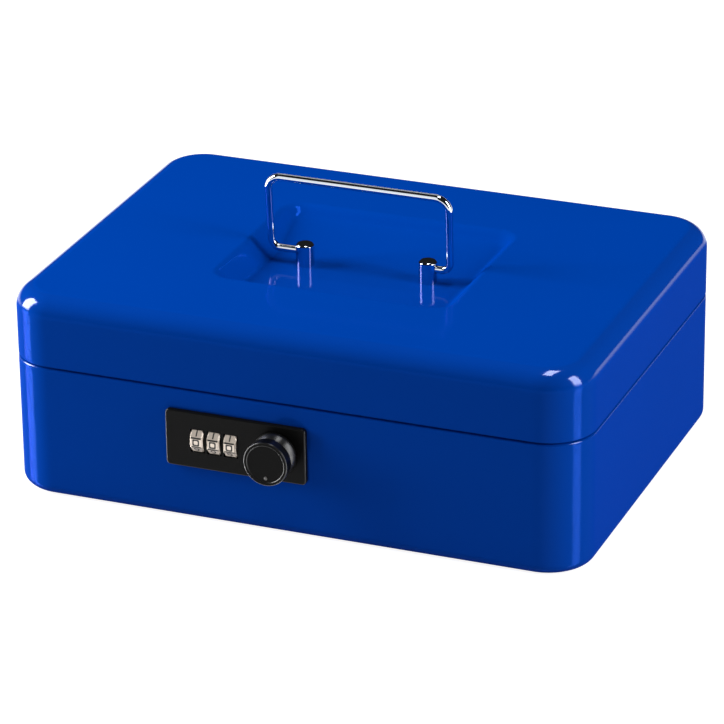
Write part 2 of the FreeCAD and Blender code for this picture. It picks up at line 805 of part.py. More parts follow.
def make_knob():
    """A turned knob with a round collar, a groove, a long grip and a dished face."""
    collar_end = knob_base - knob_collar_length
    groove_end = collar_end - knob_groove_width
    neck = knob_radius - knob_groove_depth
    dish = knob_radius - knob_face_ring
    points = [Vector(0, knob_base, 0), Vector(neck, knob_base, 0)]
    collar_crest = Vector(knob_radius, (knob_base + collar_end) / 2, 0)
    collar = Part.Arc(points[1], collar_crest, Vector(neck, collar_end, 0))
    rest = [Vector(neck, collar_end, 0), Vector(neck, groove_end, 0)]
    rest.append(Vector(knob_radius - knob_edge / 2, groove_end, 0))
    rest.append(Vector(knob_radius, groove_end - knob_edge, 0))
    rest.append(Vector(knob_radius, knob_front + knob_edge, 0))
    rest.append(Vector(knob_radius - knob_edge, knob_front, 0))
    rest.append(Vector(dish, knob_front, 0))
    rest.append(Vector(dish, knob_front + knob_face_depth, 0))
    rest.append(Vector(0, knob_front + knob_face_depth, 0))
    rest.append(points[0])
    outline = [Part.LineSegment(points[0], points[1]).toShape(), collar.toShape()]
    for start, end in zip(rest, rest[1:]):
        outline.append(Part.LineSegment(start, end).toShape())
    knob = Part.Face(Part.Wire(outline)).revolve(Vector(0, 0, 0), Vector(0, 1, 0), 360)
    knob.translate(Vector(knob_x, 0, lock_z))
    index_z = lock_z - index_place
    face = knob_front + knob_face_depth
    seat = rod_y(face - 1, face + index_sink, knob_x, index_z, index_radius)
    return knob.cut([spindle_form(knob_base - knob_bore_depth, knob_base + 1, spindle_fit), seat])


def make_knob_index():
    """The index stud set into the knob's face, low down at rest."""
    face = knob_front + knob_face_depth
    return rod_y(face - index_height, face + index_sink, knob_x, lock_z - index_place, index_radius)


def make_scroll_cam():
    """A disc whose spiral slot draws the bolt along evenly as the knob turns."""
    face = scroll_front()
    disc = rod_y(face, face + scroll_thickness, knob_x, lock_z, scroll_radius)
    hub = rod_y(face, cover_front - latch_running_gap, knob_x, lock_z, scroll_hub_radius)
    half = follower_radius + follower_clearance
    rate = bolt_travel / 90
    sides = ([], [])
    for step in range(7):
        turn = 15 * step
        radius = follower_rest_radius + rate * turn
        slope = math.degrees(math.atan2(rate * 180 / math.pi, radius))
        for points, sign in zip(sides, (-1, 1)):
            center = polar(knob_x, lock_z, radius, 180 + turn, face - 1)
            points.append(center + polar(0, 0, sign * half, 180 + turn - slope, 0))
    inner = Part.BSplineCurve()
    inner.interpolate(sides[0])
    outer = Part.BSplineCurve()
    outer.interpolate(sides[1])
    start_center = polar(knob_x, lock_z, follower_rest_radius, 180, face - 1)
    end_center = polar(knob_x, lock_z, follower_rest_radius + bolt_travel, 270, face - 1)
    start_slope = math.degrees(math.atan2(rate * 180 / math.pi, follower_rest_radius))
    end_slope = math.degrees(math.atan2(rate * 180 / math.pi, follower_rest_radius + bolt_travel))
    start_cap = Part.Arc(sides[0][0], start_center + polar(0, 0, half, 90 - start_slope, 0), sides[1][0])
    end_cap = Part.Arc(sides[0][-1], end_center + polar(0, 0, half, 360 - end_slope, 0), sides[1][-1])
    outline = Part.Wire([inner.toShape(), end_cap.toShape(), outer.toShape(), start_cap.toShape()])
    slot = Part.Face(outline).extrude(Vector(0, scroll_thickness + 2, 0))
    cam = disc.fuse(hub.cut(slot)).cut(slot)
    return cam.cut(spindle_form(face - 1, cover_front + 1, spindle_fit))


def make_knob_spindle():
    """The shaft from the knob through the lock to the latch."""
    return spindle_form(knob_base - knob_bore_depth, spindle_end, 0)


def ring_sector(inner, outer, start, end, y0, y1):
    """A flat ring sector round the knob's axis, between two angles."""
    middle = (start + end) / 2
    a = polar(knob_x, lock_z, inner, start, y0)
    b = polar(knob_x, lock_z, outer, start, y0)
    c = polar(knob_x, lock_z, outer, middle, y0)
    d = polar(knob_x, lock_z, outer, end, y0)
    e = polar(knob_x, lock_z, inner, end, y0)
    f = polar(knob_x, lock_z, inner, middle, y0)
    edges = [Part.LineSegment(a, b).toShape(), Part.Arc(b, c, d).toShape()]
    edges += [Part.LineSegment(d, e).toShape(), Part.Arc(e, f, a).toShape()]
    return Part.Face(Part.Wire(edges)).extrude(Vector(0, y1 - y0, 0))


def make_latch_cam():
    """The latch: a hub, an arm and a curved finger that turns into the lid's striker."""
    hub = rod_y(cover_back + latch_running_gap, latch_back, knob_x, lock_z, latch_hub_radius)
    finger = ring_sector(latch_inner_radius, latch_outer_radius, latch_tip_angle, latch_tail_angle,
                         latch_front, latch_back)
    arm = ring_sector(latch_hub_radius / 2, latch_outer_radius,
                      latch_tail_angle - latch_arm_angle, latch_tail_angle, latch_front, latch_back)
    cam = hub.fuse([finger, arm]).removeSplitter()
    return cam.cut(spindle_form(cover_back - 1, latch_back + 1, spindle_fit))


def make_cam_nut():
    """The nut that holds the latch on the spindle."""
    nut = hexagon_y(cam_nut_width, latch_back, spindle_end, knob_x, lock_z)
    return nut.cut(spindle_form(latch_back - 1, spindle_end + 1, spindle_fit))


def make_reset_lever():
    """The code lever: a thumb piece behind the cover, a stem and a foot inside."""
    x, z = lever_place()
    half = lever_stem / 2
    stem = block(x - half, x + half, cover_front, cover_back, z - half, z + half)
    wide = lever_thumb_width / 2
    tall = lever_thumb_height / 2
    thumb = block(x - wide, x + wide, cover_back, cover_back + lever_thumb_thickness, z - tall, z + tall)
    foot = block(x - wide / 2, x + wide / 2, cover_front - lever_foot_thickness, cover_front,
                 z - half, z + tall)
    return thumb.fuse([stem, foot]).removeSplitter()


# Coin tray
def cup_form(x0, x1, y0, y1, grow):
    """A coin cup with a half-round floor, grown by a wall thickness and open upwards."""
    radius = (x1 - x0) / 2 + grow
    middle = (x0 + x1) / 2
    floor = tray_top - tray_depth + tray_wall - grow
    center = floor + radius
    trough = rod_y(y0 - grow, y1 + grow, middle, center, radius)
    trough = trough.common(block(middle - radius, middle + radius, y0 - grow, y1 + grow, floor - 1, center))
    return trough.fuse(block(middle - radius, middle + radius, y0 - grow, y1 + grow, center, tray_top))


def till_form(x0, x1, y0, y1, grow):
    """The long tray section, with rounded corners and floor edges, open upwards."""
    floor = tray_top - tray_depth + tray_wall - grow
    form = rounded_prism(x0 - grow, x1 + grow, y0 - grow, y1 + grow,
                         till_corner_radius + grow, floor, tray_top)
    return form.makeFillet(till_floor_radius + grow, edges_at(form, floor))


def make_coin_tray():
    """The lift-out tray: a rim, a row of half-round coin cups and one long section behind them."""
    rim_x = half_width - lip_inside - tray_clearance
    rim_back = back - lip_inside - tray_clearance
    x = rim_x - tray_rim_width
    y0 = tray_front + tray_rim_width
    y1 = rim_back - tray_rim_width
    cups = []
    inner = x - tray_wall
    width = (2 * inner - (cup_count - 1) * tray_wall) / cup_count
    cup_y0 = y0 + tray_wall
    cup_y1 = cup_y0 + cup_length
    for index in range(cup_count):
        left = -inner + index * (width + tray_wall)
        cups.append((left, left + width))
    till_y0 = cup_y1 + tray_wall
    till_y1 = y1 - tray_wall
    rim_radius = corner_radius + tray_corner_ease
    rim_low = tray_top - tray_rim_thickness
    rim = rounded_prism(-rim_x, rim_x, tray_front, rim_back, rim_radius, rim_low, tray_top)
    outsides = [till_form(-inner, inner, till_y0, till_y1, tray_wall)]
    insides = [till_form(-inner, inner, till_y0, till_y1, 0)]
    for left, right in cups:
        outsides.append(cup_form(left, right, cup_y0, cup_y1, tray_wall))
        insides.append(cup_form(left, right, cup_y0, cup_y1, 0))
    return rim.fuse(outsides).cut(insides).removeSplitter()


def make_parts():
    """All pieces by name."""
    parts = {
        "body_shell": make_body_shell(),
        "tray_ledge_left": make_tray_ledge(-1),
        "tray_ledge_right": make_tray_ledge(1),
        "hinge_leaf_body": make_hinge_leaf(-1, 0),
        "hinge_leaf_lid": make_hinge_leaf(1, 1),
        "hinge_pin": make_hinge_pin(),
        "lid_shell": make_lid_shell(),
        "lid_striker": make_lid_striker(),
        "handle_post_left": make_handle_post(post_places()[0]),
        "handle_post_right": make_handle_post(post_places()[1]),
        "post_washers": make_post_washers(),
        "post_nuts": make_post_nuts(),
        "handle_bail": make_handle_bail(),
        "lock_plate": make_lock_plate(),
        "lock_housing": make_lock_housing(),
        "lock_cover": make_lock_cover(),
        "lock_screws": make_lock_screws(),
        "detent_spring": make_detent_spring(),
        "toothed_bolt": make_toothed_bolt(),
        "follower_pin": make_follower_pin(),
        "knob": make_knob(),
        "knob_index": make_knob_index(),
        "knob_spindle": make_knob_spindle(),
        "scroll_cam": make_scroll_cam(),
        "latch_cam": make_latch_cam(),
        "cam_nut": make_cam_nut(),
        "reset_lever": make_reset_lever(),
        "coin_tray": make_coin_tray(),
    }
    for index, x in enumerate(wheel_places(), start=1):
        parts[f"number_wheel_{index}"] = make_number_wheel(x)
        parts[f"wheel_sleeve_{index}"] = make_wheel_sleeve(x)
    return parts


os.makedirs("parts", exist_ok=True)
for name, shape in make_parts().items():
    shape.exportStep(f"parts/{name}.step")
    box = shape.BoundBox
    print(f"{name}: solids {len(shape.Solids)}, valid {shape.isValid()}, volume {shape.Volume:.1f},",
          f"x {box.XMin:.2f} {box.XMax:.2f}, y {box.YMin:.2f} {box.YMax:.2f},",
          f"z {box.ZMin:.2f} {box.ZMax:.2f}")
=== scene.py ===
"""Dresses the steel cash box: enamelled shells, chromed handle, black combination lock, studio.

Lengths are in metres, in the part's own frame: X to the right along the front, Y to the back, Z up.
"""

import logging
import math
from dataclasses import dataclass, field
from enum import Enum
from functools import cache
from typing import Any, Sequence

import bmesh
import bpy
from mathutils import Matrix, Vector


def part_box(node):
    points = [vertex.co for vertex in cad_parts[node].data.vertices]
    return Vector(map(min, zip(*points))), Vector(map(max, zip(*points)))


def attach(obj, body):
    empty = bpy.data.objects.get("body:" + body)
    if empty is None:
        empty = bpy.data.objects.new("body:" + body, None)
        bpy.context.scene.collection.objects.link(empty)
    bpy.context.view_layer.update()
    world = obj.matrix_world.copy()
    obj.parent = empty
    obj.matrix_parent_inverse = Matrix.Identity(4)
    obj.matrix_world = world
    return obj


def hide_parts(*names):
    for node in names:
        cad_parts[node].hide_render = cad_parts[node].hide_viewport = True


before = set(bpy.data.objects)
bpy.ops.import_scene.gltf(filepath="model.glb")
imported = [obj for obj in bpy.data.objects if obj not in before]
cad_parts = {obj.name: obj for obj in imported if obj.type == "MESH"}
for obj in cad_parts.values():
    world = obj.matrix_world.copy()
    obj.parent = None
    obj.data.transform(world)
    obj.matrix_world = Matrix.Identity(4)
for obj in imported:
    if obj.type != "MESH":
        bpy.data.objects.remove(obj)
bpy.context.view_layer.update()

log = logging.getLogger("cash_box")
MM = 0.001
POST_HOLE = 2.15 * MM
SPINDLE_HOLE = 3.1 * MM
WHEEL_FLATS = 10
SIDES = 48
FEW_SIDES = 32
HEXAGON = 6
# Where a Mix node keeps its sockets for colours.
MIX_FIRST, MIX_SECOND, MIX_RESULT = 6, 7, 2

Point = tuple[float, float]
Triple = tuple[float, float, float]
Piece = bpy.types.Object
Solid = bmesh.types.BMesh
Tree = bpy.types.NodeTree
Node = bpy.types.Node
Socket = bpy.types.NodeSocket
Sockets = bpy.types.bpy_prop_collection


class Body(Enum):
    """The bodies of the frame that pieces ride on."""

    BOX = "body"
    LID = "lid"
    HANDLE = "handle"
    WHEEL_1 = "wheel_1"
    WHEEL_2 = "wheel_2"
    WHEEL_3 = "wheel_3"
    KNOB = "knob"
    BOLT = "bolt"
    TRAY = "tray"
    LEVER = "lever"


class Slot(Enum):
    """The record's material slots."""

    PAINT = "blue_paint"
    CHROME = "chrome"
    BLACK = "black_gloss"
    INDEX = "index_white"
    NICKEL = "nickel"
    ZINC = "zinc"
    STEEL = "steel"
    PLASTIC = "black_plastic"


class Axis(Enum):
    """The way that a turned or lofted piece points, as the turn that brings +Z there."""

    UP = Matrix.Identity(4)
    FORWARD = Matrix.Rotation(math.radians(90), 4, "X")
    BACKWARD = Matrix.Rotation(math.radians(-90), 4, "X")
    RIGHT = Matrix.Rotation(math.radians(90), 4, "Y")


class Crease(Enum):
    """The turn between two faces, in degrees, past which their edge stays sharp."""

    FLATS = 20.0
    COPIED = 28.0
    USUAL = 32.0
    TURNED = 40.0
    WIRE = 50.0


class Cut(Enum):
    """What a solid does to the piece that it cuts."""

    AWAY = "DIFFERENCE"
    COMMON = "INTERSECT"


class NodeSheet:
    """Places and links the nodes of one tree."""

    def __init__(self, tree: Tree) -> None:
        """Starts on an emptied tree."""
        self.tree = tree
        tree.nodes.clear()

    @classmethod
    def group(cls, kind: str, name: str, inputs: dict[str, Any],
              outputs: Sequence[str]) -> "tuple[NodeSheet, Sockets, Sockets]":
        """Starts a node group.

        Args:
            kind: whether it is a Shader or a Geometry group.
            name: its name.
            inputs: its inputs, each with its usual value or, where it has none, its type.
            outputs: its outputs, which are numbers in a Shader group.

        Returns:
            The group's sheet, the sockets that it is given and those that it fills.
        """
        tree = bpy.data.node_groups.new(name, f"{kind}NodeTree")
        for label, value in inputs.items():
            typed = isinstance(value, str)
            socket = tree.interface.new_socket(
                label, in_out="INPUT", socket_type=f"NodeSocket{value if typed else 'Float'}")
            if not typed:
                socket.default_value = value
        result = "Float" if kind == "Shader" else kind
        for label in outputs:
            tree.interface.new_socket(label, in_out="OUTPUT", socket_type=f"NodeSocket{result}")
        sheet = cls(tree)
        return sheet, sheet.add("NodeGroupInput").outputs, sheet.add("NodeGroupOutput").inputs

    def add(self, kind: str, inputs: dict[Any, Any] | None = None, **settings: Any) -> Node:
        """Adds one node.

        Args:
            kind: the node's type.
            inputs: what goes into its sockets, by name or number: a value, or a socket to link.
            settings: the node's own properties.

        Returns:
            The new node.
        """
        node = self.tree.nodes.new(kind)
        for name, value in settings.items():
            setattr(node, name, value)
        for key, value in (inputs or {}).items():
            if isinstance(value, Socket):
                self.link(value, node.inputs[key])
            else:
                node.inputs[key].default_value = value
        return node

    def out(self, kind: str, inputs: dict[Any, Any] | None = None, **settings: Any) -> Socket:
        """Adds one node and gives its first output."""
        return self.add(kind, inputs, **settings).outputs[0]

    def link(self, source: Socket, target: Socket) -> None:
        """Links an output to an input."""
        self.tree.links.new(source, target)

    def math(self, operation: str, *values: Any) -> Socket:
        """Adds a Math node on numbers or sockets and gives its output."""
        return self.out("ShaderNodeMath", dict(enumerate(values)), operation=operation)

    def step(self, value: Socket, low: Any, high: Any) -> Socket:
        """Adds a soft step that is 0 where a value is low and 1 where it is high."""
        return self.out("ShaderNodeMapRange", {"Value": value, "From Min": low, "From Max": high},
                        interpolation_type="SMOOTHSTEP")

    def place(self) -> Socket:
        """Adds the place of each point on its object."""
        return self.add("ShaderNodeTexCoord").outputs["Object"]

    def join(self, *sources: Socket) -> Socket:
        """Adds a Join Geometry node.

        Args:
            sources: the geometries in order.

        Returns:
            The node's output.
        """
        joined = self.add("GeometryNodeJoinGeometry")
        for source in sources:
            self.link(source, joined.inputs[0])
        return joined.outputs[0]

    def close(self, geometry: Socket, finish: Socket, result: Sockets) -> Tree:
        """Ends a Geometry group with real geometry in its finish.

        Args:
            geometry: the geometry.
            finish: the material.
            result: the sockets that the group fills.

        Returns:
            The group's tree.
        """
        real = self.out("GeometryNodeRealizeInstances", {0: geometry})
        dressed = self.out("GeometryNodeSetMaterial", {"Geometry": real, "Material": finish})
        self.link(dressed, result[0])
        return self.tree


class SharedEffects:
    """Shader groups that more than one finish uses, each made at its first use."""

    @staticmethod
    @cache
    def coat_ripple() -> Tree:
        """The slight waviness of a sprayed or moulded surface.

        Returns:
            The group, which gives a height.
        """
        sheet, given, result = NodeSheet.group(
            "Shader", "coat_ripple", {"Scale": 900.0, "Fine": 0.35, "Finer": 3.7}, ["Height"])
        place = sheet.place()
        broad = sheet.out("ShaderNodeTexNoise",
                          {"Vector": place, "Scale": given["Scale"], "Detail": 1.5})
        finer = sheet.math("MULTIPLY", given["Scale"], given["Finer"])
        narrow = sheet.out("ShaderNodeTexNoise", {"Vector": place, "Scale": finer, "Detail": 1.0})
        fine = sheet.math("MULTIPLY", narrow, given["Fine"])
        sheet.link(sheet.math("ADD", broad, fine), result["Height"])
        return sheet.tree

    @staticmethod
    @cache
    def handled_film() -> Tree:
        """A faint uneven film from handling.

        Returns:
            The group, which gives a value between two limits and a mask from 0 to 1.
        """
        sheet, given, result = NodeSheet.group("Shader", "handled_film", {
            "Scale": 30.0, "Least": 0.2, "Most": 0.3, "Thin": 0.2, "Thick": 0.8}, ["Value", "Mask"])
        cloud = sheet.out("ShaderNodeTexNoise", {"Vector": sheet.place(), "Scale": given["Scale"],
                                                 "Detail": 2.0, "Roughness": 0.45})
        mask = sheet.step(cloud, given["Thin"], given["Thick"])
        spread = sheet.math("SUBTRACT", given["Most"], given["Least"])
        sheet.link(sheet.math("MULTIPLY_ADD", mask, spread, given["Least"]), result["Value"])
        sheet.link(mask, result["Mask"])
        return sheet.tree

    @staticmethod
    @cache
    def drawn_lines() -> Tree:
        """Fine lines that drawing or brushing leaves along one direction.

        Returns:
            The group, which gives a height from 0 to 1.
        """
        sheet, given, result = NodeSheet.group(
            "Shader", "drawn_lines", {"X": 40.0, "Y": 2500.0, "Z": 2500.0}, ["Height"])
        scale = sheet.out("ShaderNodeCombineXYZ", {axis: given[axis] for axis in "XYZ"})
        drawn = sheet.out("ShaderNodeVectorMath", {0: sheet.place(), 1: scale}, operation="MULTIPLY")
        lines = sheet.out("ShaderNodeTexNoise", {"Vector": drawn, "Scale": 1.0, "Detail": 2.0})
        sheet.link(lines, result["Height"])
        return sheet.tree


@dataclass(frozen=True)
class Finish:
    """A procedural finish: its name, the record's slot, its colour and its gloss."""

    name: str
    slot: Slot
    color: Triple
    least_rough: float
    most_rough: float
    tone_change: float = 0.06
    film_scale: float = 30.0
    metallic: float = 0.0
    specular: float = 0.5

    @cache
    def material(self) -> bpy.types.Material:
        """The finish's material, made at its first use.

        Returns:
            The material.
        """
        made = bpy.data.materials.new(self.name)
        made.use_nodes = True
        made.diffuse_color = (*self.color, 1.0)
        sheet = NodeSheet(made.node_tree)
        shader = sheet.add("ShaderNodeBsdfPrincipled",
                           {"Metallic": self.metallic, "Specular IOR Level": self.specular})
        sheet.add("ShaderNodeOutputMaterial", {"Surface": shader.outputs[0]})
        self._film(sheet, shader)
        self.dress(sheet, shader)
        return made

    def _film(self, sheet: NodeSheet, shader: Node) -> None:
        """Varies colour and roughness softly over the surface.

        Args:
            sheet: the material's nodes.
            shader: the material's Principled shader.
        """
        limits = {"Scale": self.film_scale, "Least": self.least_rough, "Most": self.most_rough}
        film = sheet.add("ShaderNodeGroup", limits, node_tree=SharedEffects.handled_film()).outputs
        darker = tuple(channel * (1.0 - self.tone_change) for channel in self.color)
        tone = sheet.add("ShaderNodeMix", {"Factor": film["Mask"], MIX_FIRST: (*self.color, 1.0),
                                           MIX_SECOND: (*darker, 1.0)}, data_type="RGBA")
        sheet.link(tone.outputs[MIX_RESULT], shader.inputs["Base Color"])
        sheet.link(film["Value"], shader.inputs["Roughness"])

    @staticmethod
    def _bump(sheet: NodeSheet, shader: Node, height: Socket, distance: float) -> None:
        """Raises the surface by a height pattern that stands a distance tall."""
        bump = {"Height": height, "Strength": 1.0, "Distance": distance}
        sheet.link(sheet.out("ShaderNodeBump", bump), shader.inputs["Normal"])

    def dress(self, sheet: NodeSheet, shader: Node) -> None:
        """Adds what one kind of finish has beyond the film, which is nothing here."""


@dataclass(frozen=True)
class Enamel(Finish):
    """Glossy stove enamel or lacquer, with a hard clear surface and a slight waviness."""

    tint: Triple = (1.0, 1.0, 1.0)
    coat: float = 0.3
    coat_rough: float = 0.05
    ripple_scale: float = 700.0
    ripple_height: float = 0.004 * MM

    def dress(self, sheet: NodeSheet, shader: Node) -> None:
        """Adds the clear surface and the waviness.

        Args:
            sheet: the material's nodes.
            shader: the material's Principled shader.
        """
        shader.inputs["Specular Tint"].default_value = (*self.tint, 1.0)
        shader.inputs["Coat Weight"].default_value = self.coat
        shader.inputs["Coat Roughness"].default_value = self.coat_rough
        ripple = sheet.out("ShaderNodeGroup", {"Scale": self.ripple_scale},
                           node_tree=SharedEffects.coat_ripple())
        self._bump(sheet, shader, ripple, self.ripple_height)


@dataclass(frozen=True)
class RunEnamel(Enamel):
    """Enamel that ran before it set: its clear surface is thin on flats and thick on roundings."""

    edge_coat: float = 1.0
    edge_from: float = 0.995
    edge_to: float = 0.96

    def dress(self, sheet: NodeSheet, shader: Node) -> None:
        """Lays the clear surface by the way that each place faces."""
        super().dress(sheet, shader)
        sheet.link(self._weight(sheet), shader.inputs["Coat Weight"])

    def _weight(self, sheet: NodeSheet) -> Socket:
        """The clear surface's share at each place."""
        gain = self.edge_coat - self.coat
        return sheet.math("MULTIPLY_ADD", self._rounded(sheet), gain, self.coat)

    def _rounded(self, sheet: NodeSheet) -> Socket:
        """A mask that is 0 on faces square to an axis and 1 on the roundings between them.

        Args:
            sheet: the material's nodes.

        Returns:
            The mask.
        """
        facing = self._parts(sheet, "Normal", sizes=True)
        widest = sheet.math("MAXIMUM", facing["X"], facing["Y"])
        return sheet.step(sheet.math("MAXIMUM", widest, facing["Z"]), self.edge_from, self.edge_to)

    @staticmethod
    def _parts(sheet: NodeSheet, output: str, sizes: bool) -> Sockets:
        """The three parts of a coordinate.

        Args:
            sheet: the material's nodes.
            output: which coordinate it is.
            sizes: whether the parts lose their signs.

        Returns:
            The sockets of the parts, by axis.
        """
        vector = sheet.add("ShaderNodeTexCoord").outputs[output]
        if sizes:
            vector = sheet.out("ShaderNodeVectorMath", {0: vector}, operation="ABSOLUTE")
        return sheet.add("ShaderNodeSeparateXYZ", {0: vector}).outputs


@dataclass(frozen=True)
class ShellEnamel(RunEnamel):
    """The shells' enamel, which has run thin on upright corners and pooled on the recess floor."""

    upright_coat: float = 0.03
    upright_from: float = 0.42
    upright_to: float = 0.25
    recess_half: Point = (54.0 * MM, 45.0 * MM)
    pool_coat: float = 0.18
    pool_height: float = 80.5 * MM
    level_from: float = 0.989
    level_to: float = 0.996

    def _weight(self, sheet: NodeSheet) -> Socket:
        """The clear surface's share at each place.

        Args:
            sheet: the material's nodes.

        Returns:
            The share.
        """
        upward = self._parts(sheet, "Normal", sizes=False)["Z"]
        upright = sheet.step(upward, self.upright_from, self.upright_to)
        gain = sheet.math("MULTIPLY_ADD", upright, self.upright_coat - self.edge_coat,
                          self.edge_coat - self.coat)
        outside = sheet.math("MULTIPLY_ADD", self._rounded(sheet), gain, self.coat)
        place = self._parts(sheet, "Object", sizes=True)
        in_recess = sheet.math("MULTIPLY", sheet.math("LESS_THAN", place["X"], self.recess_half[0]),
                               sheet.math("LESS_THAN", place["Y"], self.recess_half[1]))
        level = sheet.step(upward, self.level_from, self.level_to)
        low = sheet.math("LESS_THAN", place["Z"], self.pool_height)
        pooled = sheet.math("MULTIPLY", level, low)
        inside = sheet.math("MULTIPLY_ADD", pooled, self.pool_coat - self.coat, self.coat)
        return sheet.out("ShaderNodeMix", {"Factor": in_recess, "A": outside, "B": inside})


@dataclass(frozen=True)
class Drawn(Finish):
    """Bare or plated metal with fine lines along the way that it was drawn or brushed."""

    lines: Triple = (40.0, 2500.0, 2500.0)
    line_height: float = 0.002 * MM

    def dress(self, sheet: NodeSheet, shader: Node) -> None:
        """Adds the drawn lines."""
        lines = sheet.out("ShaderNodeGroup", dict(zip("XYZ", self.lines)),
                          node_tree=SharedEffects.drawn_lines())
        self._bump(sheet, shader, lines, self.line_height)


class Finishes:
    """All finishes of the box."""

    PAINT = ShellEnamel(
        "blue_enamel", Slot.PAINT, (0.0, 0.0535, 0.402), 0.11, 0.15, tone_change=0.03,
        film_scale=14.0, metallic=0.08, specular=0.0, tint=(0.0, 0.3, 1.0), coat=0.015,
        coat_rough=0.09)
    CHROME = Drawn(
        "polished_chrome", Slot.CHROME, (0.70, 0.74, 0.80), 0.035, 0.085, tone_change=0.04,
        film_scale=90.0, metallic=1.0, lines=(900.0, 900.0, 900.0), line_height=0.0006 * MM)
    BLACK = RunEnamel(
        "black_lacquer", Slot.BLACK, (0.004, 0.004, 0.004), 0.34, 0.44, tone_change=0.12,
        film_scale=60.0, specular=0.06, coat=0.03, coat_rough=0.18, edge_coat=0.4,
        ripple_scale=1500.0, ripple_height=0.006 * MM)
    KNOB = RunEnamel(
        "black_knob", Slot.BLACK, (0.003, 0.003, 0.003), 0.29, 0.36, tone_change=0.12,
        film_scale=80.0, specular=0.05, coat=0.04, coat_rough=0.30, ripple_scale=1800.0)
    INDEX = Enamel(
        "index_paint", Slot.INDEX, (0.13, 0.125, 0.12), 0.35, 0.5, film_scale=300.0, coat=0.1)
    NICKEL = Drawn(
        "brushed_nickel", Slot.NICKEL, (0.57, 0.50, 0.43), 0.32, 0.42, tone_change=0.10,
        film_scale=160.0, metallic=1.0, lines=(160.0, 5000.0, 5000.0), line_height=0.004 * MM)
    # Dark ink for the printed numerals, also used for the strips that paint shade in the grooves
    # between a wheel's flats.
    INK = Enamel(
        "numeral_ink", Slot.NICKEL, (0.012, 0.011, 0.010), 0.45, 0.6, film_scale=400.0, coat=0.0)
    ZINC = Drawn(
        "plated_zinc", Slot.ZINC, (0.60, 0.61, 0.63), 0.30, 0.44, tone_change=0.16,
        film_scale=110.0, metallic=1.0, lines=(1400.0, 1400.0, 1400.0), line_height=0.004 * MM)
    STEEL = Drawn(
        "ground_steel", Slot.STEEL, (0.50, 0.49, 0.47), 0.28, 0.40, tone_change=0.14,
        film_scale=120.0, metallic=1.0, lines=(60.0, 3000.0, 3000.0), line_height=0.003 * MM)
    PLASTIC = Enamel(
        "moulded_plastic", Slot.PLASTIC, (0.014, 0.014, 0.015), 0.42, 0.56, tone_change=0.15,
        film_scale=40.0, specular=0.4, coat=0.0, ripple_scale=2600.0, ripple_height=0.02 * MM)


def circle(radius: float, sides: int) -> list[Point]:
    """A circle's points about the origin, counter-clockwise."""
    return [(radius * math.cos(2 * math.pi * side / sides),
             radius * math.sin(2 * math.pi * side / sides)) for side in range(sides)]


def arc(center: Point, radius: float, start: float, end: float, steps: int,
        ways: tuple[int, int] = (1, 1)) -> list[Point]:
    """Points along an arc, both ends included.

    Args:
        center: the arc's centre.
        radius: its radius.
        start: its first angle in degrees.
        end: its last angle in degrees.
        steps: how many steps it has.
        ways: -1 for each coordinate that runs the other way.

    Returns:
        The points in order.
    """
    points = []
    for step in range(steps + 1):
        angle = math.radians(start + (end - start) * step / steps)
        points.append((center[0] + ways[0] * radius * math.cos(angle),
                       center[1] + ways[1] * radius * math.sin(angle)))
    return points


@dataclass(frozen=True)
class RingLayout:
    """How many steps a rounded rectangle has on each corner and side."""

    corner: int
    along_x: int
    along_y: int

    def ring(self, half_x: float, half_y: float, radius: float) -> list[Point]:
        """A rounded rectangle about the origin, counter-clockwise from its right side.

        Args:
            half_x: half its width.
            half_y: half its length.
            radius: its corner radius.

        Returns:
            The points of the ring.
        """
        points: list[Point] = []
        signs = ((1, 1), (-1, 1), (-1, -1), (1, -1))
        for index, (side_x, side_y) in enumerate(signs):
            center = (side_x * (half_x - radius), side_y * (half_y - radius))
            for step in range(self.corner + 1):
                angle = math.radians(90 * (index + step / self.corner))
                points.append((center[0] + radius * math.cos(angle),
                               center[1] + radius * math.sin(angle)))
            next_x, next_y = signs[(index + 1) % 4]
            turn = math.radians(90 * (index + 1))
            start = points[-1]
            target = (next_x * (half_x - radius) + radius * math.cos(turn),
                      next_y * (half_y - radius) + radius * math.sin(turn))
            steps = self.along_x if index % 2 == 0 else self.along_y
            for share in (step / steps for step in range(1, steps)):
                points.append((start[0] + (target[0] - start[0]) * share,
                               start[1] + (target[1] - start[1]) * share))
        return points

    def stack(self, half: Point, corner: float, section: Sequence[Point]) -> list[list[Triple]]:
        """Rounded rectangles that are set in and raised along a section.

        Args:
            half: half the width and length of the outermost.
            corner: its corner radius.
            section: each rectangle's inset and height.

        Returns:
            The rings' points.
        """
        return [[(x, y, z) for x, y in self.ring(half[0] - inset, half[1] - inset, corner - inset)]
                for inset, z in section]


def loft(rings: Sequence[Sequence[Sequence[float]]], cap_first: bool = True) -> Solid:
    """A skin through rings of equal count, which run counter-clockwise and rise along their axis.

    Args:
        rings: the rings' points.
        cap_first: whether the first ring is closed by a face, as the last one is.

    Returns:
        The new mesh.
    """
    made = bmesh.new()
    rows = [[made.verts.new(point) for point in ring] for ring in rings]
    for low, high in zip(rows, rows[1:]):
        for index, corner in enumerate(low):
            after = (index + 1) % len(low)
            made.faces.new((corner, low[after], high[after], high[index]))
    if cap_first:
        made.faces.new(reversed(rows[0]))
    made.faces.new(rows[-1])
    return made


def lathe(profile: Sequence[Point], sides: int) -> Solid:
    """A turned solid about Z, from the radius and height of each ring from low to high."""
    return loft([[(x, y, height) for x, y in circle(radius, sides)] for radius, height in profile])


def spool(end: float, radius: float, length: float, ease: float) -> list[Point]:
    """A turned profile of one radius whose two ends narrow over a short ease."""
    return [(end, 0.0), (radius, ease), (radius, length - ease), (end, length)]


def block(low: Sequence[float], high: Sequence[float]) -> Solid:
    """A box between two corners."""
    (x0, y0, z0), (x1, y1, z1) = low, high
    return loft([[(x0, y0, z), (x1, y0, z), (x1, y1, z), (x0, y1, z)] for z in (z0, z1)])


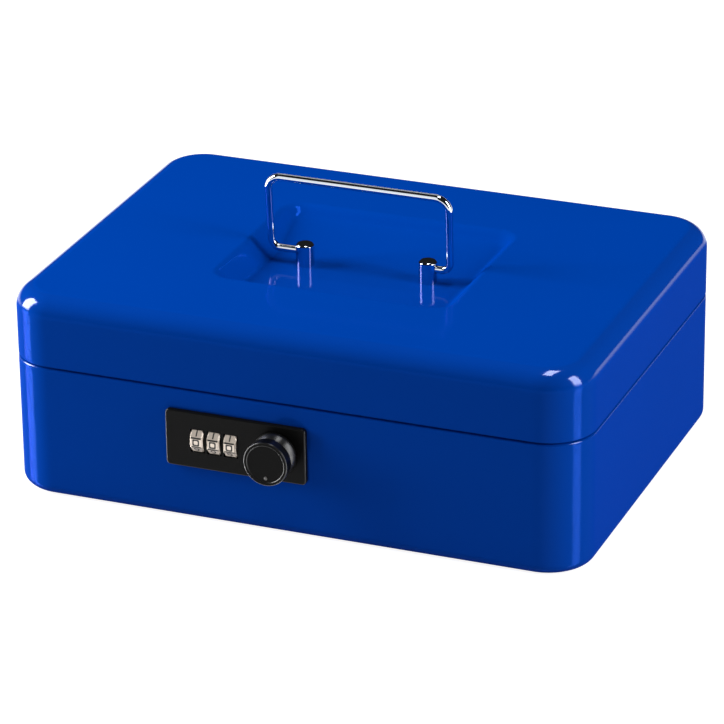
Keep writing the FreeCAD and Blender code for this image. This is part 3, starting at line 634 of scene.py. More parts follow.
def rod(radius: float, start: Vector, end: Vector, sides: int = SIDES) -> Solid:
    """A cylinder between two points.

    Args:
        radius: its radius.
        start: the centre of its first end.
        end: the centre of its other end.
        sides: how many sides it has.

    Returns:
        The new mesh.
    """
    made = lathe([(radius, 0.0), (radius, (end - start).length)], sides)
    turn = (end - start).to_track_quat("Z", "Y").to_matrix().to_4x4()
    made.transform(Matrix.Translation(start) @ turn)
    return made


def center_of(node: str) -> Vector:
    """The middle of a node's box."""
    low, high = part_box(node)
    return (low + high) / 2


def spindle_hole(front: float, back: float) -> Solid:
    """The hole for the knob's spindle between two places from front to back."""
    axis = center_of("knob_spindle")
    return rod(SPINDLE_HOLE, Vector((axis.x, front, axis.z)), Vector((axis.x, back, axis.z)))


def as_object(name: str, made: Solid) -> Piece:
    """Puts a mesh in the scene as an object at the origin.

    Args:
        name: the object's name.
        made: the mesh, which is used up.

    Returns:
        The new object.
    """
    mesh = bpy.data.meshes.new(name)
    made.to_mesh(mesh)
    made.free()
    piece = bpy.data.objects.new(name, mesh)
    bpy.context.scene.collection.objects.link(piece)
    return piece


def set_out(name: str, made: Solid, place: Sequence[float], axis: Axis) -> Piece:
    """Turns a mesh to its axis, moves it to its place and puts it in the scene."""
    made.transform(Matrix.Translation(place) @ axis.value)
    return as_object(name, made)


def settle(piece: Piece) -> None:
    """Turns what an object's modifiers give into its own plain mesh.

    Args:
        piece: the object.
    """
    graph = bpy.context.evaluated_depsgraph_get()
    old = piece.data
    mesh = bpy.data.meshes.new_from_object(
        piece.evaluated_get(graph), preserve_all_data_layers=True, depsgraph=graph)
    piece.modifiers.clear()
    piece.data = mesh
    mesh.name = piece.name
    bpy.data.meshes.remove(old)


def modify(piece: Piece, kind: str, **settings: Any) -> None:
    """Runs one modifier on an object and keeps the plain mesh.

    Args:
        piece: the object.
        kind: the modifier's type.
        settings: its properties.
    """
    change = piece.modifiers.new(kind.lower(), kind)
    for name, value in settings.items():
        setattr(change, name, value)
    settle(piece)


def carve(piece: Piece, cutters: Sequence[Solid], cut: Cut = Cut.AWAY) -> None:
    """Cuts an object by solids.

    Args:
        piece: the object to cut.
        cutters: the solids, which are used up.
        cut: what they do to it.
    """
    tools = [as_object(f"{piece.name}_cutter_{index}", made) for index, made in enumerate(cutters)]
    for tool in tools:
        change = piece.modifiers.new("cut", "BOOLEAN")
        change.operation = cut.value
        change.solver = "EXACT"
        change.object = tool
    settle(piece)
    for tool in tools:
        bpy.data.objects.remove(tool)


def bevel(piece: Piece, width: float, segments: int = 2, angle: float = 50.0) -> None:
    """Rounds the edges of an object where two faces turn by more than an angle in degrees."""
    modify(piece, "BEVEL", width=width, segments=segments, limit_method="ANGLE",
           angle_limit=math.radians(angle), use_clamp_overlap=True)


def smooth(piece: Piece, crease: Crease) -> None:
    """Shades an object smooth up to an angle, with flat faces kept flat.

    Args:
        piece: the object.
        crease: the angle.
    """
    made = bmesh.new()
    made.from_mesh(piece.data)
    limit = math.radians(crease.value)
    for face in made.faces:
        face.smooth = True
    for edge in made.edges:
        edge.smooth = len(edge.link_faces) == 2 and edge.calc_face_angle() < limit
    made.to_mesh(piece.data)
    made.free()
    modify(piece, "WEIGHTED_NORMAL", keep_sharp=True)


def seat(piece: Piece, finish: Finish, body: Body, *nodes: str,
         crease: Crease | None = Crease.USUAL) -> Piece:
    """Gives a mesh its shading, its material and its place in the frame.

    Args:
        piece: the object.
        finish: its finish.
        body: the body that it rides on.
        nodes: the nodes that it stands for.
        crease: how far it is shaded smooth, if it is.

    Returns:
        The object.
    """
    if crease:
        smooth(piece, crease)
    piece.data.materials.clear()
    piece.data.materials.append(finish.material())
    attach(piece, body.value)
    if nodes:
        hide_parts(*nodes)
    log.info("%s rides on %s, %d faces", piece.name, body.value, len(piece.data.polygons))
    return piece


def grow(piece: Piece, tree: Tree, values: dict[str, Any]) -> None:
    """Runs a Geometry Nodes tree on an object and keeps the plain mesh.

    Args:
        piece: the object.
        tree: the tree.
        values: the tree's inputs by name.
    """
    nodes = piece.modifiers.new(tree.name, "NODES")
    nodes.node_group = tree
    for socket in tree.interface.items_tree:
        if socket.in_out == "INPUT" and socket.name in values:
            nodes[socket.identifier] = values[socket.name]
    settle(piece)


class CopyGrid:
    """A Geometry Nodes tree that sets copies of one object on a grid, beside what it is given."""

    @staticmethod
    @cache
    def tree() -> Tree:
        """Builds the tree at its first use.

        Returns:
            The tree.
        """
        sheet, given, result = NodeSheet.group("Geometry", "grid_of_copies", {
            "Carrier": "Geometry", "Copy": "Object", "Start": "Vector", "Columns": "Int",
            "Column Step": "Vector", "Rows": "Int", "Row Step": "Vector", "Finish": "Material",
        }, ["Geometry"])
        column = sheet.out("GeometryNodeMeshLine", {
            "Count": given["Columns"], "Start Location": given["Start"],
            "Offset": given["Column Step"]})
        row = sheet.out("GeometryNodeMeshLine",
                        {"Count": given["Rows"], "Offset": given["Row Step"]})
        points = sheet.out("GeometryNodeInstanceOnPoints", {"Points": column, "Instance": row})
        grid = sheet.out("GeometryNodeRealizeInstances", {0: points})
        shape = sheet.add("GeometryNodeObjectInfo", {"Object": given["Copy"]},
                          transform_space="ORIGINAL").outputs["Geometry"]
        copies = sheet.out("GeometryNodeInstanceOnPoints", {"Points": grid, "Instance": shape})
        return sheet.close(sheet.join(given["Carrier"], copies), given["Finish"], result)

    @classmethod
    def apply(cls, piece: Piece, copy: Piece, finish: Finish, start: Vector,
              columns: tuple[int, Vector], rows: tuple[int, Vector] = (1, Vector())) -> None:
        """Adds the copies to an object's mesh and removes the copied object.

        Args:
            piece: the object that gets the copies.
            copy: the object that is copied, shaped about its origin.
            finish: the finish of the whole.
            start: the first copy's place.
            columns: how many copies there are along the first way, and the step between them.
            rows: how many such columns there are, and the step between them.
        """
        grow(piece, cls.tree(), {
            "Copy": copy, "Start": start, "Columns": columns[0], "Column Step": columns[1],
            "Rows": rows[0], "Row Step": rows[1], "Finish": finish.material()})
        bpy.data.objects.remove(copy)


class NumeralRing:
    """A Geometry Nodes tree: numerals round a wheel's flats, with a dark strip in each groove
    between flats that paints the groove's shade.
    """

    SIZES = ("Size", "Stretch", "Zero Width", "Zero Height", "Stroke", "Zero Round", "Radius",
             "Line Length", "Line Width", "Line Radius", "Relief")
    MERGE = 0.001 * MM
    ZERO_CORNER = 4

    @classmethod
    @cache
    def tree(cls) -> Tree:
        """Builds the tree at its first use.

        Returns:
            The tree.
        """
        inputs = {**dict.fromkeys(cls.SIZES, "Float"), "Center": "Vector", "Finish": "Material"}
        sheet, given, result = NodeSheet.group("Geometry", "ring_of_numerals", inputs, ["Geometry"])
        step = math.radians(360 / WHEEL_FLATS)
        # A dark strip set in each corner groove between flats, as painted shade for the groove.
        line = sheet.out("GeometryNodeMeshGrid", {
            "Size X": given["Line Length"], "Size Y": given["Line Width"], "Vertices X": 2,
            "Vertices Y": 2})
        flats = []
        for numeral in range(WHEEL_FLATS):
            shape = cls._text(sheet, given, str(numeral)) if numeral else cls._zero(sheet, given)
            turn = math.pi / 2 - step * numeral
            for flat, radius, angle in ((shape, given["Radius"], turn),
                                        (line, given["Line Radius"], turn - step / 2)):
                out = sheet.out("ShaderNodeCombineXYZ", {"Z": radius})
                lifted = sheet.out("GeometryNodeTransform", {"Geometry": flat, "Translation": out})
                flats.append(sheet.out("GeometryNodeTransform", {
                    "Geometry": lifted, "Rotation": (angle, 0.0, 0.0)}))
        plain = sheet.out("GeometryNodeRealizeInstances", {0: sheet.join(*flats)})
        raised = sheet.out("GeometryNodeExtrudeMesh", {
            "Mesh": plain, "Offset Scale": given["Relief"], "Individual": False})
        closed = sheet.join(raised, sheet.out("GeometryNodeFlipFaces", {0: plain}))
        merged = sheet.out("GeometryNodeMergeByDistance",
                           {"Geometry": closed, "Distance": cls.MERGE})
        moved = sheet.out("GeometryNodeTransform",
                          {"Geometry": merged, "Translation": given["Center"]})
        return sheet.close(moved, given["Finish"], result)

    @staticmethod
    def _text(sheet: NodeSheet, given: Sockets, text: str) -> Socket:
        """One numeral as a flat shape.

        Args:
            sheet: the tree's nodes.
            given: the tree's inputs.
            text: the numeral.

        Returns:
            The shape's socket.
        """
        font = bpy.data.fonts.load("<builtin>", check_existing=True)
        letters = sheet.out("GeometryNodeStringToCurves", {"String": text, "Size": given["Size"]},
                            font=font, align_x="CENTER", align_y="MIDDLE", pivot_mode="MIDPOINT")
        filled = sheet.out("GeometryNodeFillCurve", {0: letters})
        wide = sheet.out("ShaderNodeCombineXYZ", {"X": given["Stretch"], "Y": 1.0, "Z": 1.0})
        real = sheet.out("GeometryNodeRealizeInstances", {0: filled})
        return sheet.out("GeometryNodeTransform", {"Geometry": real, "Scale": wide})

    @classmethod
    def _zero(cls, sheet: NodeSheet, given: Sockets) -> Socket:
        """The square-shouldered nought as a flat frame.

        Args:
            sheet: the tree's nodes.
            given: the tree's inputs.

        Returns:
            The shape's socket.
        """
        sides = []
        for strokes in (0.0, -2.0):
            width, height = (sheet.math("MULTIPLY_ADD", given["Stroke"], strokes, given[size])
                             for size in ("Zero Width", "Zero Height"))
            side = sheet.out("GeometryNodeCurvePrimitiveQuadrilateral",
                             {"Width": width, "Height": height})
            sides.append(sheet.out("GeometryNodeFilletCurve", {
                "Curve": side, "Count": cls.ZERO_CORNER, "Radius": given["Zero Round"],
                "Limit Radius": True}, mode="POLY"))
        return sheet.out("GeometryNodeFillCurve", {0: sheet.join(*sides)})


def soft_max(first: float, second: float, blend: float) -> float:
    """The larger of two heights, with the corner between them rounded over a blend height."""
    share = max(blend - abs(first - second), 0.0) / blend
    return max(first, second) + share * share * blend / 4


@dataclass
class Recess:
    """The handle recess pressed into the lid's top, as heights under its outline."""

    half_x: float = 52.0 * MM
    half_y: float = 43.0 * MM
    corner: float = 9.0 * MM
    foot_corner: float = 4.5 * MM
    least_corner: float = 1.2 * MM
    depth: float = 9.0 * MM
    wall_run: float = 8.0 * MM
    rim_blend: float = 2.0 * MM
    foot_blend: float = 1.9 * MM
    join_blend: float = 1.8 * MM
    ramp_start: float = 6.41 * MM
    ramp_slope: float = math.tan(math.radians(9.0))
    ramp_rise: float = 5.0 * MM
    back_slope: float = 0.634
    crease_blend: float = 0.38 * MM
    knee_blend: float = 0.9 * MM
    core: float = 1.0 * MM
    core_steps: int = 8
    # Insets in millimetres where a stretch of rings starts and ends, and its steps.
    stretches: tuple[tuple[float, float, int], ...] = (
        (-5.0, -2.6, 1), (-2.6, 4.6, 18), (4.6, 7.0, 3), (7.0, 12.0, 12), (12.0, 30.0, 9))

    @classmethod
    def floor(cls) -> float:
        """The height of the recess's floor."""
        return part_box("lid_shell")[1].z - cls.depth

    def height(self, inset: float, y: float, top: float) -> float:
        """The lid's height at one place.

        Args:
            inset: how far inside the recess outline the place is.
            y: its place from front to back.
            top: the height of the lid's top.

        Returns:
            The height there.
        """
        floor = top - self.depth
        wall = top - inset * self.depth / self.wall_run
        ramp_end = self.ramp_start + self.ramp_rise / self.ramp_slope
        ramp = floor + (y - self.ramp_start) * self.ramp_slope
        ramp = soft_max(floor, ramp, self.crease_blend)
        back = floor + self.ramp_rise + (y - ramp_end) * self.back_slope
        ramp = soft_max(ramp, back, self.knee_blend)
        pan = soft_max(soft_max(wall, floor, self.foot_blend), ramp, self.join_blend)
        return -soft_max(-top, -pan, self.rim_blend)

    def insets(self) -> list[float]:
        """How far inside the outline each ring of the mesh lies, closest together at the bends.

        Returns:
            The insets from outside to inside.
        """
        found = []
        for start, end, steps in self.stretches:
            found += [(start + (end - start) * step / steps) * MM for step in range(steps)]
        start, last = self.stretches[-1][1] * MM, self.half_y - self.core
        steps = self.core_steps
        return found + [start + (last - start) * step / steps for step in range(steps + 1)]

    def rings(self, layout: RingLayout, top: float) -> list[list[Triple]]:
        """The rings of the recess, from outside its rim to its middle.

        Args:
            layout: the steps of each ring.
            top: the height of the lid's top.

        Returns:
            The rings' points.
        """
        narrowing = (self.corner - self.foot_corner) / self.wall_run
        rings = []
        for inset in self.insets():
            radius = max(self.corner - narrowing * inset, self.least_corner)
            radius = min(radius, self.half_y - inset)
            flat = layout.ring(self.half_x - inset, self.half_y - inset, radius)
            rings.append([(x, y, self.height(inset, y, top)) for x, y in flat])
        return rings


@dataclass
class Shell:
    """What the lid and the lower box share: sheet, corners and the room for the hinge barrel."""

    corner: float = 20.0 * MM
    sheet: float = 1.0 * MM
    hem: float = 0.28 * MM
    gap: float = 0.3 * MM
    gap_depth: float = 5.0 * MM

    def _axis_height(self) -> float:
        """The height of the hinge's axis."""
        low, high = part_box("hinge_pin")
        return (low.z + high.z) / 2

    def _hinge_gap(self, edge: float, barrel: float, back: float) -> Solid:
        """The space that the hinge barrel takes out of the back edge.

        Args:
            edge: a height past the shell's edge, where the space starts.
            barrel: the height of the barrel's side toward that edge.
            back: the place of the shell's back.

        Returns:
            The cutter.
        """
        low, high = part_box("hinge_pin")
        axis = self._axis_height()
        far = axis + (axis - barrel) + math.copysign(self.gap, axis - edge)
        bottom, top = sorted((edge, far))
        return block((low.x - self.gap, back - self.gap_depth, bottom),
                     (high.x + self.gap, back + self.sheet, top))


@dataclass
class LidShell(Shell):
    """The drawn lid with its handle recess."""

    edge: float = 9.0 * MM
    edge_steps: int = 14
    hem_angle: float = 70.0
    recess: Recess = field(default_factory=Recess)
    layout: RingLayout = RingLayout(corner=18, along_x=10, along_y=64)

    def build(self) -> list[Piece]:
        """Makes the lid.

        Returns:
            The lid's pieces.
        """
        low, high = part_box("lid_shell")
        section = [(0.0, low.z), (0.0, low.z + self.edge / 2)]
        section += arc((self.edge, high.z - self.edge), self.edge, 0, 90, self.edge_steps, (-1, 1))
        rings = self.layout.stack((high.x, high.y), self.corner, section)
        rings += self.recess.rings(self.layout, high.z)
        piece = as_object("lid_skin", loft(rings, cap_first=False))
        modify(piece, "SOLIDIFY", thickness=self.sheet, offset=-1.0, use_even_offset=True)
        bevel(piece, self.hem, angle=self.hem_angle)
        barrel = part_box("hinge_leaf_lid")[0].z
        carve(piece, [self._hinge_gap(low.z - self.sheet, barrel, high.y), *self._post_holes()])
        return [seat(piece, Finishes.PAINT, Body.LID, "lid_shell")]

    def _post_holes(self) -> list[Solid]:
        """The holes for the handle posts' shanks.

        Returns:
            The cutters.
        """
        holes = []
        for name in ("handle_post_left", "handle_post_right"):
            foot, head = center_of(name), center_of(name)
            foot.z, head.z = Recess.floor() - 2 * self.sheet, Recess.floor() + self.sheet
            holes.append(rod(POST_HOLE, foot, head, FEW_SIDES))
        return holes


@dataclass
class BodyShell(Shell):
    """The drawn lower box with its shoulder and lip."""

    base_edge: float = 4.7 * MM
    shoulder: float = 0.9 * MM
    shoulder_drop: float = 0.4 * MM
    lip_inset: float = 1.4 * MM
    window_clear: float = 0.35 * MM
    layout: RingLayout = RingLayout(corner=18, along_x=10, along_y=10)

    def build(self) -> list[Piece]:
        """Makes the lower box.

        Returns:
            The pieces of the lower box.
        """
        low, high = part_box("body_shell")
        section = self._section(self._axis_height() - self.shoulder_drop, high.z)
        rings = self.layout.stack((high.x, high.y), self.corner, section)
        piece = as_object("body_skin", loft(rings))
        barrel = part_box("hinge_leaf_body")[1].z
        carve(piece, [self._hinge_gap(high.z + self.sheet, barrel, high.y),
                      *self._lock_openings(low.y)])
        return [seat(piece, Finishes.PAINT, Body.BOX, "body_shell")]

    def _section(self, rim: float, top: float) -> list[Point]:
        """The sheet's section, up its outer face, over the lip and down its inner face.

        Args:
            rim: the height of the shoulder.
            top: the height of the lip.

        Returns:
            Inset from the outer wall and height along it.
        """
        base, hem, sheet, lip = self.base_edge, self.hem, self.sheet, self.lip_inset
        inside, under = lip + sheet, rim - sheet
        return [
            *arc((base, base), base, -90, 0, 8, (-1, 1)),
            *arc((self.shoulder, rim - self.shoulder), self.shoulder, 0, 90, 6, (-1, 1)),
            (lip - hem, rim), (lip, rim + hem),
            *arc((lip + hem, top - hem), hem, 0, 90, 4, (-1, 1)),
            *arc((inside - hem, top - hem), hem, 90, 0, 4),
            (inside, under + hem), (inside - hem, under),
            (sheet + hem, under), (sheet, under - hem),
            *arc((base, base), base - sheet, 0, 90, 8, (-1, -1)),
        ]

    def _lock_openings(self, front: float) -> list[Solid]:
        """The wheel window and the spindle hole in the front wall.

        Args:
            front: the place of the box's front.

        Returns:
            The cutters.
        """
        first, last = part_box("number_wheel_1"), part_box("number_wheel_3")
        clear = self.window_clear
        near, far = front - self.sheet, front + 2 * self.sheet
        window = block((first[0].x - clear, near, first[0].z - clear),
                       (last[1].x + clear, far, first[1].z + clear))
        return [window, spindle_hole(near, far)]


@dataclass
class Hinge:
    """The barrel hinge: two leaves with their knuckles, and the pin."""

    knuckles: int = 9
    knuckle_gap: float = 0.3 * MM
    curl_steps: int = 40
    sheet: float = 0.8 * MM
    bore: float = 1.15 * MM
    rounding: float = 0.12 * MM
    peen: float = 0.25 * MM

    def build(self) -> list[Piece]:
        """Makes the two leaves and the pin."""
        return [self._leaf("hinge_leaf_body", Body.BOX, -1, 0),
                self._leaf("hinge_leaf_lid", Body.LID, 1, 1), self._pin()]

    def _axis(self) -> tuple[Vector, Vector]:
        """The two ends of the hinge's axis.

        Returns:
            The left and the right end.
        """
        low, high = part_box("hinge_pin")
        middle = center_of("hinge_pin")
        return Vector((low.x, middle.y, middle.z)), Vector((high.x, middle.y, middle.z))

    def _leaf(self, node: str, body: Body, side: int, first: int) -> Piece:
        """Makes one leaf.

        Args:
            node: the leaf's node.
            body: the body that it rides on.
            side: 1 for the leaf above the pin and -1 for the one below.
            first: the number of its first knuckle.

        Returns:
            The leaf.
        """
        start, end = self._axis()
        low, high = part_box(node)
        radius = high.y - start.y
        relief = radius + self.knuckle_gap
        bottom, top = sorted((start.z + side * relief, high.z if side > 0 else low.z))
        plate = block((low.x, low.y, bottom), (high.x, low.y + self.sheet, top))
        piece = as_object(f"{node}_plate", plate)
        bevel(piece, self.rounding)
        pitch = (end.x - start.x) / self.knuckles
        copy = self._knuckle(pitch - self.knuckle_gap, radius, relief, side)
        count = len(range(first, self.knuckles, 2))
        origin = Vector((start.x + first * pitch + self.knuckle_gap / 2, start.y, start.z))
        CopyGrid.apply(piece, copy, Finishes.PAINT, origin, (count, Vector((2 * pitch, 0.0, 0.0))))
        return seat(piece, Finishes.PAINT, body, node)

    def _knuckle(self, length: float, radius: float, relief: float, side: int) -> Piece:
        """Makes one knuckle about the pin's axis, curled from the leaf's sheet.

        Args:
            length: its length along the pin.
            radius: its outer radius.
            relief: how far the leaf's edge is from the axis.
            side: 1 where the leaf is above the pin and -1 where it is below.

        Returns:
            The knuckle.
        """
        open_angle = math.degrees(math.acos((radius - self.sheet) / radius))
        curl = arc((0.0, 0.0), radius, 180, 540 - open_angle, self.curl_steps)
        outline = [(-radius, relief), *curl, (self.sheet - radius, relief)]
        points = [(y, side * z) for y, z in outline][::side]
        piece = as_object("knuckle", loft([[(x, y, z) for y, z in points] for x in (0.0, length)]))
        ends = Vector((-length, 0, 0)), Vector((2 * length, 0, 0))
        carve(piece, [rod(self.bore, *ends, FEW_SIDES)])
        bevel(piece, self.rounding / 2, 1)
        return piece

    def _pin(self) -> Piece:
        """Makes the pin with rounded ends.

        Returns:
            The pin.
        """
        start, end = self._axis()
        low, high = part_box("hinge_pin")
        radius = (high.z - low.z) / 2
        profile = spool(radius - self.peen, radius, end.x - start.x, self.peen)
        piece = set_out("hinge_pin_rod", lathe(profile, FEW_SIDES), start, Axis.RIGHT)
        return seat(piece, Finishes.STEEL, Body.BOX, "hinge_pin")


@dataclass
class BailHandle:
    """The wire bail, its two turned posts and what holds them under the lid."""

    foot_bend: float = 4.0 * MM
    head_bend: float = 5.8 * MM
    leg_spread: float = 79.6 * MM
    splay: float = 0.3 * MM
    slide: float = 2.5 * MM
    end_inset: float = 0.3 * MM
    wire: float = 1.6 * MM
    wire_clear: float = 0.15 * MM
    lean: float = 4.2
    reach: float = 32.7 * MM
    pivot: float = 85.45 * MM
    shank: float = 2.0 * MM
    chamfer: float = 0.6 * MM
    ease: float = 0.12 * MM
    nut_bore: float = 2.05 * MM
    nut_chamfer: float = 0.4 * MM
    nut_dome: float = 1.06
    bend_steps: int = 14
    wire_sides: int = 28
    post_sides: int = 56
    washer_sides: int = 40

    def build(self) -> list[Piece]:
        """Makes the bail, the posts, the washers and the nuts."""
        posts = [self._post(f"handle_post_{side}") for side in ("left", "right")]
        return [self._bail(), *posts, self._washers(), self._nuts()]

    def _wire_end(self) -> float:
        """How far from the bail's middle its wire ends."""
        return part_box("handle_post_right")[0].x + self.slide + self.end_inset

    def _path(self) -> list[Vector]:
        """The bail's centre line, upright and about its pivot axis.

        Returns:
            Its points from the left end to the right.
        """
        foot, end = self.leg_spread / 2, self._wire_end()
        half = ((end, 0), (foot, 0), (foot + self.splay, self.reach))
        corners = [Vector((-x, 0, z)) for x, z in half] + [Vector((x, 0, z)) for x, z in half[::-1]]
        radii = (self.foot_bend, self.head_bend, self.head_bend, self.foot_bend)
        path = [corners[0]]
        for index, radius in enumerate(radii, start=1):
            before = (corners[index] - corners[index - 1]).normalized()
            after = (corners[index + 1] - corners[index]).normalized()
            half_turn = before.angle(after) / 2
            start = corners[index] - before * radius * math.tan(half_turn)
            inward = (after - before).normalized()
            center = corners[index] + inward * radius / math.cos(half_turn)
            spoke = start - center
            axis = before.cross(after).normalized()
            for step in range(self.bend_steps + 1):
                turn = Matrix.Rotation(2 * half_turn * step / self.bend_steps, 3, axis)
                path.append(center + turn @ spoke)
        path.append(corners[-1])
        return path

    def _bail(self) -> Piece:
        """Makes the bent wire.

        Returns:
            The wire.
        """
        path = self._path()
        across = Vector((0, 1, 0))
        section = circle(self.wire, self.wire_sides)
        rings = []
        for index, place in enumerate(path):
            ahead = path[min(index + 1, len(path) - 1)]
            behind = path[max(index - 1, 0)]
            side = across.cross((ahead - behind).normalized())
            rings.append([place + side * u + across * v for u, v in section])
        made = loft(rings)
        turn = Matrix.Rotation(math.radians(self.lean), 4, "X")
        made.transform(Matrix.Translation((-self.slide, 0, self.pivot)) @ turn)
        piece = as_object("bail_wire", made)
        return seat(piece, Finishes.CHROME, Body.HANDLE, "handle_bail", crease=Crease.WIRE)

    def _post(self, node: str) -> Piece:
        """Makes one turned post with its cross hole.

        Args:
            node: the post's node.

        Returns:
            The post.
        """
        low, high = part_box(node)
        middle = center_of(node)
        radius = (high.x - low.x) / 2
        floor, top = Recess.floor(), high.z
        chamfer, ease = self.chamfer, self.ease
        profile = [(self.shank, low.z), (self.shank, floor), (radius - ease, floor),
                   (radius, floor + ease), (radius, top - chamfer - ease),
                   (radius - ease / 2, top - chamfer), (radius - chamfer, top - ease / 2),
                   (radius - chamfer - ease, top)]
        piece = set_out(f"{node}_turned", lathe(profile, self.post_sides),
                        (middle.x, middle.y, 0), Axis.UP)
        outward = math.copysign(1.0, middle.x)
        bottom = outward * self._wire_end() - self.slide - outward * self.end_inset
        ends = (Vector((x, middle.y, self.pivot))
                for x in (middle.x + 2 * outward * radius, bottom))
        carve(piece, [rod(self.wire + self.wire_clear, *ends, FEW_SIDES)])
        return seat(piece, Finishes.CHROME, Body.LID, node)

    def _row(self, name: str, copy: Piece, bore: float, node: str) -> Piece:
        """Bores one shape and sets a copy on each post's shank.

        Args:
            name: the new piece's name.
            copy: the shape that is copied.
            bore: its hole's radius.
            node: the node that the row stands for.

        Returns:
            The row.
        """
        low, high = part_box(node)
        height = high.z - low.z
        ends = Vector((0, 0, -height)), Vector((0, 0, 2 * height))
        carve(copy, [rod(bore, *ends, FEW_SIDES)])
        start = center_of("handle_post_left")
        step = center_of("handle_post_right") - start
        start.z = low.z
        piece = as_object(name, bmesh.new())
        CopyGrid.apply(piece, copy, Finishes.STEEL, start, (2, step))
        return seat(piece, Finishes.STEEL, Body.LID, node)

    def _washers(self) -> Piece:
        """Makes the washers under the lid.

        Returns:
            The two washers as one piece.
        """
        low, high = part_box("post_washers")
        radius = (high.y - low.y) / 2
        profile = spool(radius - self.ease, radius, high.z - low.z, self.ease)
        copy = as_object("washer", lathe(profile, self.washer_sides))
        return self._row("post_washer_pair", copy, POST_HOLE, "post_washers")

    def _nuts(self) -> Piece:
        """Makes the hexagonal nuts with eased corners.

        Returns:
            The two nuts as one piece.
        """
        low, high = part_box("post_nuts")
        flat, height = (high.y - low.y) / 2, high.z - low.z
        corner = flat / math.cos(math.pi / HEXAGON)
        copy = as_object("nut", lathe([(corner, 0.0), (corner, height)], HEXAGON))
        collar = spool(flat * self.nut_dome, corner, height, self.nut_chamfer)
        carve(copy, [lathe(collar, SIDES)], Cut.COMMON)
        return self._row("post_nut_pair", copy, self.nut_bore, "post_nuts")


@dataclass
class NumberWheel:
    """One ten-sided number wheel with its numerals."""

    number: int
    body: Body
    groove: float = 0.4 * MM
    groove_steps: int = 6
    # How deep and how wide the dark strip sits that paints shade in each groove between flats.
    line_depth: float = 0.2 * MM
    line_width: float = 0.62 * MM
    chamfer: float = 0.6 * MM
    bore: float = 3.85 * MM
    text: float = 3.9 * MM
    stretch: float = 1.5
    zero: Point = (3.0 * MM, 2.9 * MM)
    zero_round: float = 0.5 * MM
    stroke: float = 0.6 * MM
    relief: float = 0.06 * MM

    def build(self) -> list[Piece]:
        """Makes the wheel.

        Returns:
            The wheel, and its numerals with the dark strips that paint shade in the grooves between
            flats.
        """
        node = f"number_wheel_{self.number}"
        low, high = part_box(node)
        center = center_of(node)
        apothem = (high.y - low.y) / 2
        radius = apothem / math.cos(math.pi / WHEEL_FLATS)
        outline = self._outline(radius)
        end = (radius - self.chamfer) / radius
        rings = [[(x, center.y + share * y, center.z + share * z) for y, z in outline]
                 for x, share in ((low.x, end), (low.x + self.chamfer, 1.0),
                                  (high.x - self.chamfer, 1.0), (high.x, end))]
        piece = as_object(f"{node}_flats", loft(rings))
        ends = (Vector((x, center.y, center.z))
                for x in (low.x - self.chamfer, high.x + self.chamfer))
        carve(piece, [rod(self.bore, *ends)])
        seat(piece, Finishes.NICKEL, self.body, node, crease=Crease.FLATS)
        numerals = as_object(f"{node}_numerals", bmesh.new())
        sizes = (self.text, self.stretch, *self.zero, self.stroke, self.zero_round,
                 apothem - self.relief / 2, high.x - low.x - 2 * self.chamfer, self.line_width,
                 radius - self.line_depth - self.relief, self.relief)
        values = dict(zip(NumeralRing.SIZES, sizes))
        grow(numerals, NumeralRing.tree(),
             {**values, "Center": center, "Finish": Finishes.INK.material()})
        return [piece, seat(numerals, Finishes.INK, self.body, crease=None)]

    def _outline(self, radius: float) -> list[Point]:
        """The wheel's outline across its axis, with a round groove at each corner.

        Args:
            radius: how far the corners are from the axis.

        Returns:
            The outline's points.
        """
        points: list[Point] = []
        step = 360 / WHEEL_FLATS
        half_corner = 90 - step / 2
        for corner in range(WHEEL_FLATS):
            angle = step * (corner + 0.5)
            turn, inward = math.radians(angle), angle + 180
            center = (radius * math.cos(turn), radius * math.sin(turn))
            points += arc(center, self.groove, inward + half_corner, inward - half_corner,
                          self.groove_steps)
        return points


@dataclass
class LockFront:
    """The lock's black front plate with its wheel slots."""

    corner: float = 1.8 * MM
    bevel: float = 0.7 * MM
    slot_clear: float = 0.35 * MM
    beyond: float = 0.2 * MM
    layout: RingLayout = RingLayout(corner=8, along_x=4, along_y=4)

    def build(self) -> list[Piece]:
        """Makes the plate.

        Returns:
            The plate.
        """
        low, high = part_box("lock_plate")
        center = center_of("lock_plate")
        half = (high.x - low.x) / 2, (high.z - low.z) / 2
        shoulder = high.y - low.y - self.bevel
        section = [(0.0, 0.0), (0.0, shoulder)]
        section += arc((self.bevel, shoulder), self.bevel, 15, 90, 5, (-1, 1))
        piece = set_out("lock_front_plate", loft(self.layout.stack(half, self.corner, section)),
                        (center.x, high.y, center.z), Axis.FORWARD)
        carve(piece, self._openings(low.y - self.beyond, high.y + self.beyond))
        return [seat(piece, Finishes.BLACK, Body.BOX, "lock_plate", crease=Crease.TURNED)]

    def _openings(self, front: float, back: float) -> list[Solid]:
        """The three wheel slots, which widen inwards, and the spindle hole.

        Args:
            front: a place before the plate.
            back: a place behind it.

        Returns:
            The cutters.
        """
        cutters = []
        for number in (1, 2, 3):
            low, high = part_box(f"number_wheel_{number}")
            axis = center_of(f"number_wheel_{number}")
            radius = (high.y - low.y) / 2 / math.cos(math.pi / WHEEL_FLATS)
            wide = (high.x - low.x) / 2 + self.slot_clear
            rings = []
            for y in (back, front):
                away = axis.y - y
                tall = math.sqrt(max(radius ** 2 - away ** 2, 0.0)) + self.slot_clear
                base = ((-wide, -tall), (wide, -tall), (wide, tall), (-wide, tall))
                rings.append([(axis.x + x, y, axis.z + z) for x, z in base])
            cutters.append(loft(rings))
        return [*cutters, spindle_hole(front, back)]


